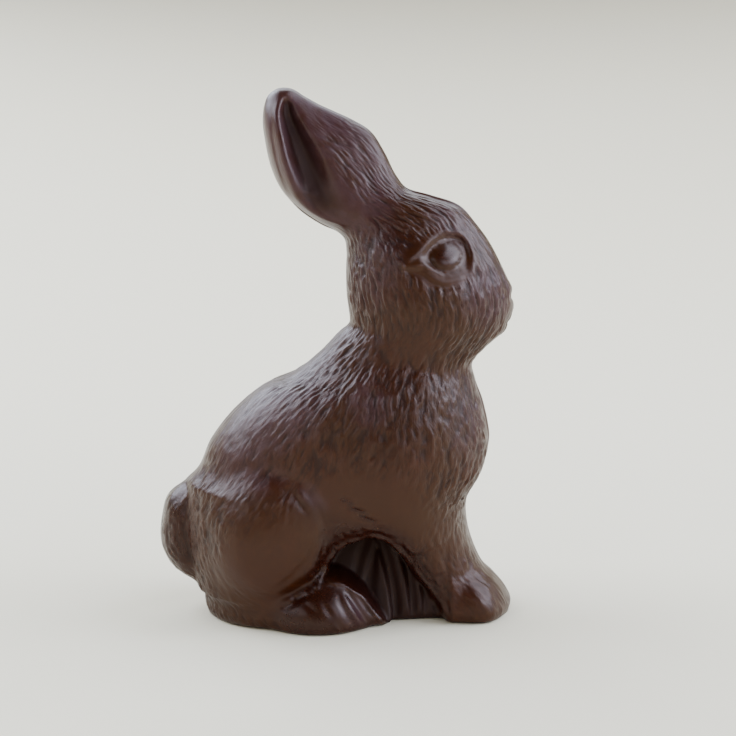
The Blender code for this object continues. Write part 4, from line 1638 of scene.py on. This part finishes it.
@dataclass(frozen=True)
class SoftLight:
    """A large rectangular soft light that points at the figure.

    Attributes:
        name: object name.
        place: position in metres.
        size: width and height in metres.
        power: watts.
        colour: tint.
        aim: point that it faces.
    """

    name: str
    place: tuple[float, float, float]
    size: tuple[float, float]
    power: float
    colour: tuple[float, float, float] = (1.0, 1.0, 1.0)
    aim: tuple[float, float, float] = (0.0, 0.0, 0.07)

    def build(self) -> bpy.types.Object:
        """Add the light and turn it to its aim.

        Returns:
            The light.
        """
        light = bpy.data.lights.new(self.name, "AREA")
        light.shape = "RECTANGLE"
        light.size, light.size_y = self.size
        light.energy = self.power
        light.color = self.colour
        lamp = put_in_scene(self.name, light)
        lamp.location = self.place
        lamp.rotation_euler = (Vector(self.aim) - Vector(self.place)).to_track_quat("-Z", "Y").to_euler()
        return lamp


@dataclass(frozen=True)
class PhotoCamera:
    """The photograph's camera: level across, a little above the figure and looking down.

    Attributes:
        place: position in metres.
        pitch_down: degrees below the horizon.
        lens: focal length in mm on a 36 mm sensor.
    """

    place: tuple[float, float, float] = (0.0085, -0.500, 0.1594)
    pitch_down: float = 10.35
    lens: float = 90.49

    def build(self) -> bpy.types.Object:
        """Add the camera and make it the scene's.

        Returns:
            The camera.
        """
        camera = bpy.data.cameras.new("photo_camera")
        camera.sensor_width = 36.0
        camera.lens = self.lens
        camera.clip_start = 0.01
        camera.clip_end = 20.0
        eye = put_in_scene("photo_camera", camera)
        eye.location = self.place
        eye.rotation_euler = (math.radians(90.0 - self.pitch_down), 0.0, 0.0)
        bpy.context.scene.camera = eye
        return eye


@dataclass(frozen=True)
class Studio:
    """Floor, lights, sky and camera.

    Attributes:
        bowl: floor and backdrop.
        lights: soft lights.
        sky: colour of the surrounding light.
        sky_strength: its strength.
        camera: the photograph's camera.
    """

    bowl: StudioBowl = field(default_factory=StudioBowl)
    lights: tuple[SoftLight, ...] = (
        SoftLight("left_box", (-0.65, 0.15, 0.65), (0.7, 0.7), 13.0, (0.73, 0.82, 1.0)),
        SoftLight("right_box", (0.65, 0.15, 0.65), (0.7, 0.7), 10.4, (0.73, 0.81, 1.0)),
        SoftLight("back_box", (0.0, 0.75, 0.65), (0.9, 0.6), 6.5, (0.80, 0.88, 1.0)),
        SoftLight("rear_left_box", (-0.6, 0.75, 0.58), (0.6, 0.5), 6.8, (0.73, 0.82, 1.0)),
        SoftLight("low_right_box", (0.88, -0.1, 0.45), (0.6, 0.4), 6.0, (0.68, 0.78, 1.0)),
        SoftLight("front_right_box", (0.65, -0.7, 0.55), (0.6, 0.5), 4.2, (0.70, 0.79, 1.0)),
        SoftLight("front_left_box", (-0.65, -0.7, 0.55), (0.6, 0.5), 2.2, (0.76, 0.85, 1.0)),
    )
    sky: Colour = (1.0, 0.94, 0.76, 1.0)
    sky_strength: float = 0.14
    camera: PhotoCamera = field(default_factory=PhotoCamera)

    def build(self) -> None:
        """Add the floor, the lights, the sky and the camera."""
        self.bowl.build()
        for light in self.lights:
            light.build()
        world = bpy.data.worlds.new("studio_sky")
        world.use_nodes = True
        background = world.node_tree.nodes["Background"]
        background.inputs[0].default_value = self.sky
        background.inputs[1].default_value = self.sky_strength
        bpy.context.scene.world = world
        self.camera.build()


def main() -> None:
    """Build the rabbit and its studio in order, and report each piece."""
    logging.basicConfig(level=logging.INFO, format="%(name)s: %(message)s")
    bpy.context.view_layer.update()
    rabbit = ChocolateRabbit().build()
    rabbit.data.materials.append(ChocolateFinish().material())
    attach(rabbit, BODY)
    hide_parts(NODE)
    LOG.info("rabbit skin: %d vertices, %d faces", len(rabbit.data.vertices), len(rabbit.data.polygons))
    Studio().build()
    LOG.info("studio: floor, lights, sky and camera")
    LOG.info("sizes written")


if __name__ == "__main__":
    main()
